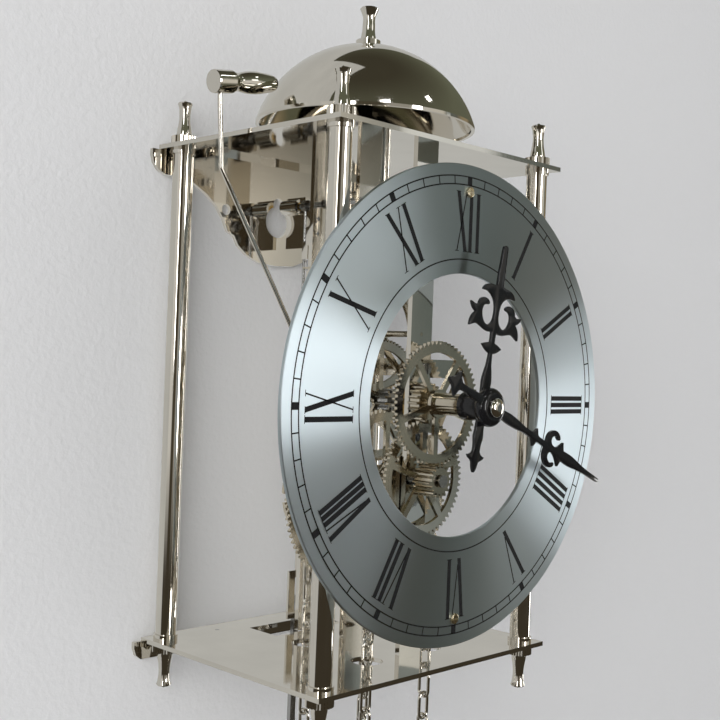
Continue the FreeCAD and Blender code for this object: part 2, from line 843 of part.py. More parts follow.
def make_hammer_rod():
    pivot, bend, out = hammer_rod_line()
    start = pivot + out * (arbor_radius + side_clearance)
    low = vec(hammer_rod_x, hammer_y, hammer_joint_z - hammer_head_radius * 1.5)
    end = vec(hammer_rod_x, hammer_y, hammer_joint_z)
    return wire_through([start, bend, low, end], hammer_rod_radius)


def lying_arm(x, z, y, thickness, length, angle):
    # A flat arm from an arbor, turned about it in the plane of the dial.
    arm = box(0, length, y, y + thickness, -spoke_width / 2, spoke_width / 2)
    arm.Placement = FreeCAD.Placement(vec(x, 0, z), FreeCAD.Rotation(BACK, -angle))
    return fuse([arm, rod_y(x, z, y, y + thickness, arbor_radius + spoke_width / 2)])


def make_hammer_arbor():
    # The pipe, the boss that grips the rod, and the tail that the pins lift.
    y0 = middle_bar_y + bar_thickness + close_clearance
    y1 = hammer_tail_y + wheel_thickness
    pipe = rod_y(-side_arbor_x, side_z, y0, y1, arbor_radius + side_clearance)
    boss = rod_y(-side_arbor_x, side_z, hammer_y - hub_radius / 2, hammer_y + hub_radius / 2,
                 hammer_boss_radius)
    pivot, bend, out = hammer_rod_line()
    boss = boss.cut(Part.makeCylinder(hammer_rod_radius + seat_clearance, hub_radius,
                                      pivot + out * (arbor_radius + side_clearance), out))
    reach = math.hypot(side_arbor_x, side_arbor_above_axis)
    length = reach - hammer_pin_circle - hammer_pin_radius - side_clearance
    angle = math.degrees(math.atan2(-side_arbor_above_axis, side_arbor_x))
    tail = lying_arm(-side_arbor_x, side_z, hammer_tail_y, wheel_thickness, length, angle)
    bore = rod_y(-side_arbor_x, side_z, y0 - overrun, y1 + overrun,
                 arbor_radius + running_clearance)
    return fuse([pipe, boss, tail]).cut(bore)


def make_lifting_lever():
    # The arbor of the lifting piece, its front arm and its rear locking arm.
    front_y = front_bar_y - side_clearance - lever_thickness
    rear_y = rear_bar_y - side_clearance - lever_thickness * 2
    pieces = [rod_y(side_arbor_x, side_z, front_y, rear_bar_y - side_clearance, arbor_radius),
              rod_y(side_arbor_x, side_z, rear_y, rear_bar_y + bar_thickness, pivot_radius)]
    for y, x, z in ((front_y, hub_radius * 2, -motion_drop / 2),
                    (rear_y, hub_radius * 3.4, -great_drop / 2)):
        along = x - side_arbor_x
        rise = z - side_arbor_above_axis
        angle = math.degrees(math.atan2(rise, along))
        pieces.append(lying_arm(side_arbor_x, side_z, y, lever_thickness,
                                math.hypot(along, rise), angle))
    return fuse(pieces)


up_angle = quarter_turn
down_angle = -quarter_turn
cannon_phase = 0.0
minute_phase = mesh_phase(cannon_phase, cannon_leaves, minute_teeth, down_angle)
minute_leaf_phase = 0.1
hour_phase = mesh_phase(minute_leaf_phase, minute_leaves, hour_teeth, up_angle)
great_phase = 0.0
centre_leaf_phase = mesh_phase(great_phase, great_teeth, centre_pinion_leaves, up_angle)
second_phase = 0.0
third_leaf_phase = mesh_phase(second_phase, centre_teeth, train_pinion_leaves, up_angle)
third_phase = 0.05
escape_leaf_phase = mesh_phase(third_phase, third_teeth, train_pinion_leaves, up_angle)


def leaves(z, y0, length, count, module, phase):
    return slab(gear_outline(0, z, count, module, phase, 6), y0, length)


def make_centre_arbor():
    nose = back(-minute_hand_before_dial - minute_boss_rise - hand_nut_height)
    end = middle_bar_y - side_clearance
    shaft = rod_y(0, axis_z, nose, end, arbor_radius)
    pivot = rod_y(0, axis_z, end - overrun, end + shared_pivot, pivot_radius)
    pinion = leaves(axis_z, back(centre_pinion_from_dial), centre_pinion_length,
                    centre_pinion_leaves, great_module, centre_leaf_phase)
    return fuse([shaft, pivot, pinion])


def make_centre_wheel():
    return crossed_wheel(0, axis_z, back(centre_wheel_from_dial), centre_teeth, second_module,
                         second_phase, 5, 18, arbor_radius + seat_clearance)


def make_tension_washer():
    y0 = back(washer_from_dial)
    washer = rod_y(0, axis_z, y0, y0 + washer_thickness, washer_radius)
    washer = fuse([washer, rod_y(0, axis_z, y0, y0 + washer_thickness * 3, hub_radius * 0.7)])
    return washer.cut(rod_y(0, axis_z, y0 - overrun, y0 + washer_thickness * 3 + overrun,
                            arbor_radius + seat_clearance))


def make_cannon_pinion():
    y0 = back(cannon_from_dial)
    outline = gear_outline(0, axis_z, cannon_leaves, cannon_module, cannon_phase, 6)
    leaves = slab(outline, y0, cannon_length)
    pipe = rod_y(0, axis_z, back(-minute_hand_before_dial), y0, cannon_pipe_radius)
    pinion = fuse([leaves, pipe])
    return pinion.cut(rod_y(0, axis_z, back(-minute_hand_before_dial) - overrun,
                            y0 + cannon_length + overrun, arbor_radius + seat_clearance))


def make_hour_wheel():
    # The wheel and the pipe that carries the hour hand, turning on the cannon pinion's pipe.
    y0 = back(hour_wheel_from_dial)
    wheel = crossed_wheel(0, axis_z, y0, hour_teeth, hour_module, hour_phase, 5, 54,
                          hour_pipe_bore)
    boss_y = back(-hour_boss_before_dial)
    nose_y = back(-hour_hand_before_dial)
    pipe = fuse([rod_y(0, axis_z, boss_y, y0, hour_pipe_radius),
                 rod_y(0, axis_z, nose_y, boss_y, hour_pipe_nose_radius),
                 rod_y(0, axis_z, y0 - wheel_thickness, y0, hour_pipe_flange_radius)])
    bore = rod_y(0, axis_z, nose_y - overrun, y0 + wheel_thickness + overrun, hour_pipe_bore)
    return fuse([wheel, pipe.cut(bore)])


def make_motion_stud():
    y0 = back(minute_pinion_from_dial - side_clearance * 2)
    stud = rod_y(0, motion_z, y0, front_bar_y, arbor_radius)
    shoulder_y = back(minute_wheel_from_dial) + wheel_thickness + side_clearance / 2
    shoulder = rod_y(0, motion_z, shoulder_y, front_bar_y, hub_radius / 2 + arbor_radius)
    clip = rod_y(0, motion_z, y0, y0 + side_clearance, arbor_radius * 2)
    return fuse([stud, shoulder, clip])


def make_minute_wheel():
    bore = arbor_radius + running_clearance
    y0 = back(minute_pinion_from_dial)
    wheel_y = back(minute_wheel_from_dial)
    wheel = crossed_wheel(0, motion_z, wheel_y, minute_teeth, cannon_module, minute_phase,
                          5, 90, bore)
    pinion = gear(0, motion_z, y0, wheel_y - y0, minute_leaves, hour_module,
                  minute_leaf_phase, 6, bore)
    return Part.makeCompound([wheel, pinion])


def chain_wheel(y, z):
    # Two scalloped flanges on a drum, with a middle groove for the upright links.
    chord_rise = chain_wheel_radius * math.cos(math.pi / links_over_wheel / 2)
    drum = chord_rise - chain_wire_radius - close_clearance
    groove = chord_rise - chain_link_width / 2 - close_clearance
    flange = chain_wheel_radius + chain_link_width / 2
    half_groove = chain_wire_radius + side_clearance / 2
    inside = chain_link_width / 2 + close_clearance
    outside = inside + chain_wheel_flange
    pieces = [rod_y(0, z, y - outside, y + outside, groove)]
    for side in (-1, 1):
        low = min(side * half_groove, side * outside)
        high = max(side * half_groove, side * outside)
        pieces.append(rod_y(0, z, y + low, y + high, drum))
        low = min(side * inside, side * outside)
        high = max(side * inside, side * outside)
        disc = rod_y(0, z, y + low, y + high, flange)
        count = links_over_wheel * 2
        for scallop in range(count):
            angle = 2 * math.pi * scallop / count
            disc = disc.cut(rod_y((flange + chain_wire_radius) * math.cos(angle),
                                  z + (flange + chain_wire_radius) * math.sin(angle),
                                  y + low - overrun, y + high + overrun, chain_link_width / 2))
        pieces.append(disc)
    wheel = fuse(pieces)
    return wheel.cut(rod_y(0, z, y - outside - overrun, y + outside + overrun,
                           arbor_radius + seat_clearance))


def great_shaft(bar_y, next_bar_y, front_pivot, back_pivot):
    y0 = bar_y + bar_thickness + close_clearance
    trim = side_clearance - close_clearance
    return arbor(0, great_z, y0, next_bar_y - side_clearance, front_pivot - trim, back_pivot)


def make_great_arbor():
    return great_shaft(front_bar_y, middle_bar_y, whole_pivot, shared_pivot)


def make_great_wheel(from_dial):
    return crossed_wheel(0, great_z, back(from_dial), great_teeth, great_module, great_phase,
                         6, 30, arbor_radius + seat_clearance)


def make_strike_great_wheel():
    return Part.makeCompound([make_great_wheel(strike_great_wheel_from_dial),
                              great_shaft(middle_bar_y, rear_bar_y, shared_pivot, whole_pivot)])


def train_arbor(z, going):
    # The going train runs from the front bar to the middle, the strike train behind it.
    first = front_bar_y if going else middle_bar_y
    last = middle_bar_y if going else rear_bar_y
    return arbor(0, z, first + bar_thickness + side_clearance, last - side_clearance,
                 whole_pivot if going else shared_pivot,
                 shared_pivot if going else whole_pivot)


def make_third_wheel():
    wheel = crossed_wheel(0, second_z, back(third_wheel_from_dial), third_teeth, fly_module,
                          third_phase, 4, 45, arbor_radius + seat_clearance)
    pinion = leaves(second_z, back(third_pinion_from_dial), train_pinion_length,
                    train_pinion_leaves, second_module, third_leaf_phase)
    return Part.makeCompound([wheel, fuse([train_arbor(second_z, True), pinion])])


def escape_outline():
    # Raked teeth: a long back and a leaning front.
    pitch_angle = 2 * math.pi / escape_teeth
    tooth_shares = ((0.0, 0.86), (0.3, 0.9), (0.52, 1.0), (0.6, 1.0), (0.66, 0.86))
    outline = []
    for tooth in range(escape_teeth):
        for turn, radius in tooth_shares:
            angle = (tooth + turn) * pitch_angle
            outline.append((escape_radius * radius * math.cos(angle),
                            fly_z + escape_radius * radius * math.sin(angle)))
    return outline


def make_escape_wheel():
    y0 = back(escape_wheel_from_dial)
    wheel = slab(escape_outline(), y0, wheel_thickness)
    wheel = wheel.cut(windows(0, fly_z, y0, hub_radius, escape_radius * 0.72, 4, 0))
    wheel = wheel.cut(rod_y(0, fly_z, y0 - overrun, y0 + wheel_thickness + overrun,
                            arbor_radius + seat_clearance))
    pinion = leaves(fly_z, back(escape_pinion_from_dial), train_pinion_length,
                    train_pinion_leaves, fly_module, escape_leaf_phase)
    return Part.makeCompound([wheel, fuse([train_arbor(fly_z, True), pinion])])


def make_pin_wheel():
    # The wheel whose pins lift the hammer's tail, with a ring of metal under the pins.
    y0 = back(pin_wheel_from_dial)
    y1 = y0 + wheel_thickness
    wheel = crossed_wheel(0, axis_z, y0, centre_teeth, second_module, second_phase, 5, 0,
                          arbor_radius + seat_clearance)
    ring = rod_y(0, axis_z, y0, y1, hammer_pin_circle + spoke_width)
    pieces = [wheel, ring.cut(rod_y(0, axis_z, y0 - overrun, y1 + overrun,
                                    hammer_pin_circle - spoke_width))]
    for pin in range(hammer_pins):
        angle = 2 * math.pi * pin / hammer_pins
        pieces.append(rod_y(hammer_pin_circle * math.cos(angle),
                            axis_z + hammer_pin_circle * math.sin(angle),
                            y0 - hammer_pin_length, y1, hammer_pin_radius))
    pinion = leaves(axis_z, back(pin_pinion_from_dial), pin_pinion_length,
                    centre_pinion_leaves, great_module, centre_leaf_phase)
    return Part.makeCompound([fuse(pieces), fuse([train_arbor(axis_z, False), pinion])])


def make_locking_wheel():
    wheel = crossed_wheel(0, second_z, back(locking_wheel_from_dial), third_teeth, fly_module,
                          third_phase, 4, 20, arbor_radius + seat_clearance)
    pinion = leaves(second_z, back(locking_pinion_from_dial), train_pinion_length,
                    train_pinion_leaves, second_module, third_leaf_phase)
    return Part.makeCompound([wheel, fuse([train_arbor(second_z, False), pinion])])


def make_fly():
    y0 = back(fly_blade_from_dial)
    y1 = y0 + fly_blade_length
    half = fly_blade_thickness / 2
    pinion = leaves(fly_z, back(fly_pinion_from_dial), train_pinion_length,
                    train_pinion_leaves, fly_module, escape_leaf_phase)
    blade = box(-fly_blade_radius, fly_blade_radius, y0, y1, fly_z - half, fly_z + half)
    hub = rod_y(0, fly_z, y0, y1, arbor_radius + fly_blade_thickness)
    return fuse([train_arbor(fly_z, False), pinion, blade, hub])


def make_count_wheel():
    # Notches part the blows of each hour, with one blow between them at the half hours.
    y0 = back(count_wheel_from_dial)
    disc = rod_y(0, great_z, y0, y0 + wheel_thickness, count_wheel_radius)
    blows = sum(range(1, 13)) + 12
    struck = 0
    for hour in range(1, 13):
        for part_blows in (hour, 1):
            struck += part_blows
            angle = 2 * math.pi * struck / blows
            notch = box(count_wheel_radius - count_notch_depth, count_wheel_radius + overrun,
                        y0 - overrun, y0 + wheel_thickness + overrun,
                        -count_notch_width / 2, count_notch_width / 2)
            notch.Placement = FreeCAD.Placement(vec(0, 0, great_z),
                                                FreeCAD.Rotation(BACK, math.degrees(angle)))
            disc = disc.cut(notch)
    disc = disc.cut(windows(0, great_z, y0, hub_radius, count_wheel_radius * 0.66, 3, 0))
    return disc.cut(rod_y(0, great_z, y0 - overrun, y0 + wheel_thickness + overrun,
                          arbor_radius + seat_clearance))


def hand_point(length, angle, along, across):
    # From a place on the hand, in shares of its length, to a place on the dial.
    turn = math.radians(angle)
    u = along * length
    v = across * length
    return (u * math.sin(turn) + v * math.cos(turn),
            axis_z + u * math.cos(turn) - v * math.sin(turn))


def smooth_run(run):
    # The points of a smooth curve through those of the run, but for its last one.
    smooth = []
    for here in range(len(run) - 1):
        near = (run[max(here - 1, 0)], run[here], run[here + 1], run[min(here + 2, len(run) - 1)])
        for step in range(hand_curve_steps):
            t = step / hand_curve_steps
            smooth.append(tuple(
                b + t * (c - a) / 2 + t * t * (a - 2.5 * b + 2 * c - d / 2)
                + t * t * t * (1.5 * (b - c) + (d - a) / 2)
                for a, b, c, d in zip(*near)))
    return smooth


# Half of each hand, as smooth runs from the axis to the tip, in shares of its length.
hour_hand_shares = (
    ((0.059, 0), (0.059, 0.0371)),
    ((0.059, 0.0371), (0.121, 0.041), (0.156, 0.0439), (0.191, 0.0381), (0.227, 0.0293),
     (0.258, 0.0205), (0.326, 0.0146)),
    ((0.326, 0.0146), (0.33, 0.0312), (0.342, 0.0566), (0.369, 0.0957)),
    ((0.369, 0.0957), (0.381, 0.0684), (0.389, 0.043), (0.393, 0.0215)),
    ((0.393, 0.0215), (0.424, 0.0205), (0.455, 0.0234)),
    ((0.455, 0.0234), (0.451, 0.0508), (0.453, 0.082), (0.463, 0.1172), (0.474, 0.1562),
     (0.475, 0.1816), (0.463, 0.2148), (0.451, 0.2402)),
    ((0.451, 0.2402), (0.477, 0.2393), (0.502, 0.2324), (0.525, 0.2187), (0.543, 0.1992)),
    ((0.543, 0.1992), (0.557, 0.2246), (0.576, 0.2422), (0.598, 0.2539)),
    ((0.598, 0.2539), (0.594, 0.2344), (0.588, 0.207), (0.596, 0.1816)),
    ((0.596, 0.1816), (0.611, 0.1777), (0.631, 0.166), (0.644, 0.1406), (0.645, 0.1152),
     (0.639, 0.0937), (0.623, 0.0781), (0.611, 0.0859), (0.607, 0.1055), (0.596, 0.1289),
     (0.57, 0.1387), (0.543, 0.1357), (0.516, 0.123), (0.496, 0.1016), (0.49, 0.0781),
     (0.496, 0.0566), (0.514, 0.0352), (0.543, 0.0234), (0.58, 0.0215), (0.615, 0.0264),
     (0.645, 0.0391), (0.666, 0.0586), (0.682, 0.0859), (0.689, 0.1094), (0.689, 0.1348),
     (0.689, 0.1602)),
    ((0.689, 0.1602), (0.707, 0.1523), (0.725, 0.1328), (0.736, 0.1055), (0.74, 0.0742),
     (0.742, 0.0488), (0.746, 0.0322)),
    ((0.746, 0.0322), (0.82, 0.0312), (0.898, 0.0264), (0.967, 0.0234), (0.99, 0.0186), (1, 0)),
)
hour_tail_shares = (
    ((-0.059, 0), (-0.059, 0.0352)),
    ((-0.059, 0.0352), (-0.137, 0.0371), (-0.182, 0.043), (-0.225, 0.0332), (-0.264, 0.0312),
     (-0.281, 0.041), (-0.291, 0.0586), (-0.295, 0.0801)),
    ((-0.295, 0.0801), (-0.312, 0.0664), (-0.326, 0.0391), (-0.336, 0.0293)),
    ((-0.336, 0.0293), (-0.363, 0.0225), (-0.387, 0.0117), (-0.398, 0)),
)
minute_hand_shares = (
    ((0.046, 0), (0.046, 0.0185)),
    ((0.046, 0.0185), (0.108, 0.0238), (0.149, 0.0262), (0.226, 0.0215), (0.28, 0.0146),
     (0.348, 0.0162)),
    ((0.348, 0.0162), (0.36, 0.0262), (0.374, 0.0469)),
    ((0.374, 0.0469), (0.383, 0.0338), (0.392, 0.0185), (0.403, 0.0146)),
    ((0.403, 0.0146), (0.438, 0.0138), (0.471, 0.0154)),
    ((0.471, 0.0154), (0.469, 0.0338), (0.472, 0.0554), (0.486, 0.0754), (0.511, 0.0915),
     (0.54, 0.0946), (0.566, 0.0846), (0.578, 0.0677), (0.569, 0.0585), (0.555, 0.0631),
     (0.542, 0.0708), (0.526, 0.0662), (0.512, 0.0554), (0.508, 0.0385), (0.518, 0.0231),
     (0.54, 0.0162), (0.563, 0.0215), (0.585, 0.0354), (0.612, 0.0638)),
    ((0.612, 0.0638), (0.618, 0.0492), (0.625, 0.0354), (0.631, 0.0262)),
    ((0.631, 0.0262), (0.669, 0.0277), (0.715, 0.0277), (0.762, 0.0223), (0.815, 0.0162),
     (0.877, 0.0123), (0.938, 0.0111), (0.989, 0.0092), (1, 0)),
)
minute_tail_shares = (
    ((-0.046, 0), (-0.046, 0.02)),
    ((-0.046, 0.02), (-0.138, 0.0208), (-0.215, 0.0146), (-0.252, 0.0162)),
    ((-0.252, 0.0162), (-0.268, 0.0308), (-0.282, 0.0615)),
    ((-0.282, 0.0615), (-0.298, 0.0446), (-0.311, 0.0246), (-0.323, 0.0169)),
    ((-0.323, 0.0169), (-0.338, 0.0123), (-0.348, 0)),
)


def hand_plate(length, angle, y0, halves):
    pieces = []
    for runs in halves:
        outline = [point for run in runs for point in smooth_run(run)] + [runs[-1][-1]]
        for side in (1, -1):
            points = [hand_point(length, angle, u, v * side) for u, v in outline]
            pieces.append(slab(points, y0, hand_thickness))
    return pieces


def make_minute_hand():
    # The hand and the barrel at its middle.
    y0 = back(-minute_hand_before_dial)
    boss_back = back(-hour_hand_before_dial - hand_gap)
    boss_length = boss_back - y0 + minute_boss_rise
    barrel_shares = ((0, 0.86), (0.25, 0.98), (0.58, 1.0), (0.88, 0.88), (1, 0.66))
    curve = [(minute_boss_radius * radius, boss_length * along)
             for along, radius in barrel_shares]
    pieces = hand_plate(minute_hand_length, minute_hand_angle, y0,
                        (minute_hand_shares, minute_tail_shares))
    pieces.append(turned_spline([(0, 0)], curve, [(0, boss_length)], 0, boss_back, axis_z,
                                FRONT))
    hole = rod_y(0, axis_z, y0 - minute_boss_rise - overrun, back(0),
                 cannon_pipe_radius + seat_clearance)
    return fuse(pieces).cut(hole)


def make_hour_hand():
    y0 = back(-hour_hand_before_dial)
    boss_back = back(-hour_boss_before_dial - running_clearance)
    pieces = hand_plate(hour_hand_length, hour_hand_angle, y0,
                        (hour_hand_shares, hour_tail_shares))
    pieces.append(rod_y(0, axis_z, y0, boss_back, hour_boss_radius))
    hole = rod_y(0, axis_z, y0 - overrun, boss_back + overrun,
                 hour_pipe_nose_radius + seat_clearance)
    return fuse(pieces).cut(hole)


def make_hand_nut():
    y1 = back(-minute_hand_before_dial - minute_boss_rise)
    y0 = y1 - hand_nut_height
    nut = turned_spline([(0, 0), (hand_nut_radius, 0)],
                        [(hand_nut_radius, hand_nut_height * 0.3),
                         (hand_nut_radius * 0.92, hand_nut_height * 0.62),
                         (hand_nut_radius * 0.68, hand_nut_height * 0.88),
                         (hand_nut_radius * 0.4, hand_nut_height)],
                        [(0, hand_nut_height)], 0, y1, axis_z, FRONT)
    return nut.cut(rod_y(0, axis_z, y0 - overrun, y1 + overrun, arbor_radius + seat_clearance))


chain_bend_radius = chain_link_width / 2 - chain_wire_radius
chain_straight = chain_pitch + close_clearance - 2 * (chain_bend_radius - chain_wire_radius)


def make_link():
    # One link, standing along Z with its width along X.
    half = chain_straight / 2
    pieces = []
    for side, axis in ((-1, BACK), (1, FRONT)):
        pieces.append(Part.makeCylinder(chain_wire_radius, chain_straight,
                                        vec(side * chain_bend_radius, 0, -half), UP))
        section = Part.Wire(Part.makeCircle(chain_wire_radius,
                                            vec(chain_bend_radius, 0, side * half), UP))
        pieces.append(Part.Face(section).revolve(vec(0, 0, side * half), axis, 180))
    return fuse(pieces)


def make_chain(y, side):
    # Links over the top of the chain wheel, a loaded strand and a free strand with a ring.
    link = make_link()
    links = []

    def add(x, z, lean, flat):
        copy = link.copy()
        if flat:
            copy.rotate(vec(0, 0, 0), UP, 90)
        copy.rotate(vec(0, 0, 0), BACK, lean)
        copy.translate(vec(x, y, z))
        links.append(copy)

    step = half_turn / links_over_wheel
    rise = chain_wheel_radius * math.cos(step / 2)
    for place in range(links_over_wheel):
        angle = step * (place + 0.5)
        add(side * rise * math.cos(angle), great_z + rise * math.sin(angle),
            -side * math.degrees(angle), place % 2 == 1)
    for place in range(load_links):
        add(side * chain_wheel_radius, great_z - chain_pitch * (place + 0.5), 0, place % 2 == 0)
    for place in range(free_links):
        add(-side * chain_wheel_radius, great_z - chain_pitch * (place + 0.5), 0,
            place % 2 == 1)
    last = great_z - chain_pitch * free_links
    ring = Part.makeTorus(chain_ring_radius, chain_wire_radius,
                          vec(-side * chain_wheel_radius, y,
                              last + chain_wire_radius + close_clearance / 2 - chain_ring_radius),
                          RIGHT)
    return Part.makeCompound(links + [ring])


weight_pivot_z = great_z - chain_pitch * load_links - close_clearance / 2 - chain_wire_radius


def make_weight(y, side):
    # A shell on a stem whose ring hangs on the end wire of the chain's last link.
    x = side * chain_wheel_radius
    ring_z = weight_pivot_z + chain_wire_radius + weight_ring_wire_radius \
        + close_clearance / 4 - weight_ring_radius
    ring = Part.makeTorus(weight_ring_radius, weight_ring_wire_radius, vec(x, y, ring_z), BACK)
    stem_top = ring_z - weight_ring_radius
    shell_top = stem_top - weight_stem_height
    stem = rod_z(x, y, shell_top - overrun, stem_top, weight_ring_wire_radius)
    cap = rod_z(x, y, shell_top, shell_top + weight_cap_height, weight_cap_radius)
    shell = rod_z(x, y, shell_top - weight_length, shell_top, weight_radius)
    shell = shell.makeFillet(weight_edge_radius,
                             [edge for edge in shell.Edges if edge.Closed])
    return fuse([ring, stem, cap, shell])


leader_front_y = pendulum_y - leader_thickness / 2
leader_back_y = pendulum_y + leader_thickness / 2
suspension_z = axis_z + suspension_rise
hook_top_z = axis_z - hook_top_drop
bob_z = suspension_z - pendulum_length


def make_anchor_cock():
    # A fin behind the rear bar. It carries the anchor arbor's boss and the suspension.
    x0 = cock_fin_x
    x1 = cock_fin_x + cock_fin_thickness
    y1 = back(cock_back_from_dial)
    boss_y = back(cock_boss_front_from_dial)
    z1 = axis_z + cock_top_rise
    fin = box(x0, x1, cock_front_y, y1, cock_bottom_z, z1)
    hub_room = crutch_hub_radius + side_clearance
    crutch_y = back(crutch_from_dial)
    half = crutch_hub_length / 2 + side_clearance
    fin = fin.cut(box(x0 - overrun, x1 + overrun, crutch_y - half, crutch_y + half,
                      anchor_z - hub_room, z1 + overrun))
    foot = box(-bar_width / 2, x1, cock_front_y, cock_front_y + cock_fin_thickness,
               cock_bottom_z, cock_bottom_z + cock_foot_height)
    shelf = box(-suspension_block_width / 2, suspension_block_width / 2,
                cock_front_y, pendulum_y + suspension_block_depth / 2,
                cock_bottom_z, cock_bottom_z + cock_fin_thickness)
    boss = rod_y(0, anchor_z, boss_y, y1, cock_boss_radius)
    cock = fuse([fin, foot, shelf, boss])
    cock = cock.cut(rod_y(0, anchor_z, boss_y - overrun, y1 + overrun,
                          bushing_radius + seat_clearance))
    for z in cock_screw_heights:
        cock = cock.cut(rod_y(cock_screw_x, z, cock_front_y - overrun,
                              cock_front_y + cock_fin_thickness + overrun,
                              screw_shank_radius + seat_clearance))
    return cock


def make_anchor_bushing():
    y0 = back(cock_boss_front_from_dial)
    y1 = back(cock_back_from_dial)
    bush = rod_y(0, anchor_z, y0, y1, bushing_radius)
    return bush.cut(rod_y(0, anchor_z, y0 - overrun, y1 + overrun, pivot_hole))


def make_anchor_arbor():
    y0 = front_bar_y + bar_thickness + side_clearance
    y1 = back(cock_boss_front_from_dial) - side_clearance
    return arbor(0, anchor_z, y0, y1, whole_pivot, side_clearance + bushing_radius * 4)


def make_anchor():
    # Two arms that reach down on both sides of the escape wheel.
    reach = escape_radius + anchor_gap
    half_angle = math.acos(escape_radius / (anchor_rise - fly_rise))
    tip_x = reach * math.sin(half_angle)
    tip_z = fly_z + reach * math.cos(half_angle)
    drop = anchor_z - tip_z
    arm_shares = ((0.0, -0.2), (0.18, -0.16), (1.22, 0.52), (1.34, 0.68), (1.3, 1.02),
                  (1.02, 1.02), (1.14, 0.76), (1.06, 0.66), (0.22, 0.2), (0.0, 0.26))
    right = [(tip_x * x, anchor_z - drop * z) for x, z in arm_shares]
    left = [(-x, z) for x, z in reversed(right[1:-1])]
    y0 = back(escape_wheel_from_dial) + (wheel_thickness - anchor_thickness) / 2
    anchor = slab(right + left, y0, anchor_thickness)
    return anchor.cut(rod_y(0, anchor_z, y0 - overrun, y0 + anchor_thickness + overrun,
                            arbor_radius + seat_clearance))


def make_crutch():
    y = back(crutch_from_dial)
    foot_z = axis_z + crutch_foot_rise
    half = crutch_hub_length / 2
    hub = rod_y(0, anchor_z, y - half, y + half, crutch_hub_radius)
    wire = wire_through([vec(0, y, anchor_z - crutch_wire_radius), vec(0, y, foot_z),
                         vec(0, leader_front_y - side_clearance, foot_z)], crutch_wire_radius)
    crutch = fuse([hub, wire])
    return crutch.cut(rod_y(0, anchor_z, y - half - overrun, y + half + overrun,
                            arbor_radius + seat_clearance))


def make_suspension_block():
    half_x = suspension_block_width / 2
    half_y = suspension_block_depth / 2
    return box(-half_x, half_x, pendulum_y - half_y, pendulum_y + half_y, suspension_z,
               suspension_z + suspension_block_height)


def make_suspension_blade():
    half = suspension_blade_thickness / 2
    deep = suspension_block_depth / 2 - close_clearance
    blade = box(-half, half, pendulum_y - deep, pendulum_y + deep,
                suspension_z - suspension_blade_length, suspension_z - seat_clearance)
    return blade


def make_pendulum_leader():
    top = suspension_z - suspension_blade_length
    half = leader_width / 2
    y0, y1 = leader_front_y, leader_back_y
    eye_z = axis_z + crutch_foot_rise
    hook_z = hook_top_z - hook_height
    strip = box(-half, half, y0, y1, hook_top_z - overrun, top)
    eye = rod_y(0, eye_z, y0, y1, leader_eye_radius)
    plate = box(-hook_width / 2, hook_width / 2, y0, y1, hook_z, hook_top_z)
    leader = fuse([strip, eye, plate])
    slot = crutch_wire_radius + running_clearance
    cuts = [box(-slot, slot, y0 - overrun, y1 + overrun, eye_z - slot * 2, eye_z + slot * 2),
            box(-hook_window_width / 2, hook_window_width / 2, y0 - overrun, y1 + overrun,
                hook_z + hook_border, hook_top_z - hook_border)]
    return leader.cut(fuse(cuts))


rod_front_y = leader_back_y + seat_clearance
rod_middle_y = rod_front_y + rod_thickness / 2
rod_end_z = bob_z - rod_tail


def make_pendulum_rod():
    # A flat rod behind the hook plate, with a lug through the window and a round end.
    half = rod_width / 2
    lug_z = hook_top_z - hook_height + hook_border
    flat_end = bob_z - bob_radius
    strip = box(-half, half, rod_front_y, rod_front_y + rod_thickness, flat_end,
                lug_z + hook_border * 2)
    lug = box(-half, half, leader_front_y - rod_thickness / 2, rod_front_y + overrun,
              lug_z + seat_clearance, lug_z + hook_border)
    end = rod_z(0, rod_middle_y, rod_end_z, flat_end + overrun, rod_thickness / 2)
    return fuse([strip, lug, end])


def make_pendulum_bob():
    # A lens of two equal domes with a narrow flat edge.
    rim = bob_thickness / 8
    dome = bob_thickness / 2 - rim
    cap = cap_radius(bob_radius, dome)
    middle = bob_radius / 2
    middle_rise = rim + dome - cap + math.sqrt(cap * cap - middle * middle)
    front = Part.Arc(vec(bob_radius, -rim, 0), vec(middle, -middle_rise, 0),
                     vec(0, -bob_thickness / 2, 0)).toShape()
    rear = Part.Arc(vec(0, bob_thickness / 2, 0), vec(middle, middle_rise, 0),
                    vec(bob_radius, rim, 0)).toShape()
    edges = [front, Part.makeLine(vec(0, -bob_thickness / 2, 0), vec(0, bob_thickness / 2, 0)),
             rear, Part.makeLine(vec(bob_radius, rim, 0), vec(bob_radius, -rim, 0))]
    bob = Part.Face(Part.Wire(edges)).revolve(vec(0, 0, 0), BACK, 360)
    bob.translate(vec(0, rod_middle_y, bob_z))
    half_x = rod_width / 2 + seat_clearance
    half_y = rod_thickness / 2 + seat_clearance
    return bob.cut(box(-half_x, half_x, rod_middle_y - half_y, rod_middle_y + half_y,
                       bob_z - bob_radius - overrun, bob_z + bob_radius + overrun))


def make_rating_nut():
    top = bob_z - bob_radius - seat_clearance
    low = top - rating_nut_height
    outline = []
    for ridge in range(nut_ridges):
        for step, edge in ((0, rating_nut_radius), (0.5, rating_nut_radius - nut_ridge_depth)):
            angle = 2 * math.pi * (ridge + step) / nut_ridges
            outline.append(vec(edge * math.cos(angle), rod_middle_y + edge * math.sin(angle),
                               low))
    nut = face_of(outline).extrude(vec(0, 0, rating_nut_height))
    return nut.cut(rod_z(0, rod_middle_y, low - overrun, top + overrun,
                         rod_thickness / 2 + seat_clearance))


going_chain_y = back(going_chain_wheel_from_dial)
strike_chain_y = back(strike_chain_wheel_from_dial)

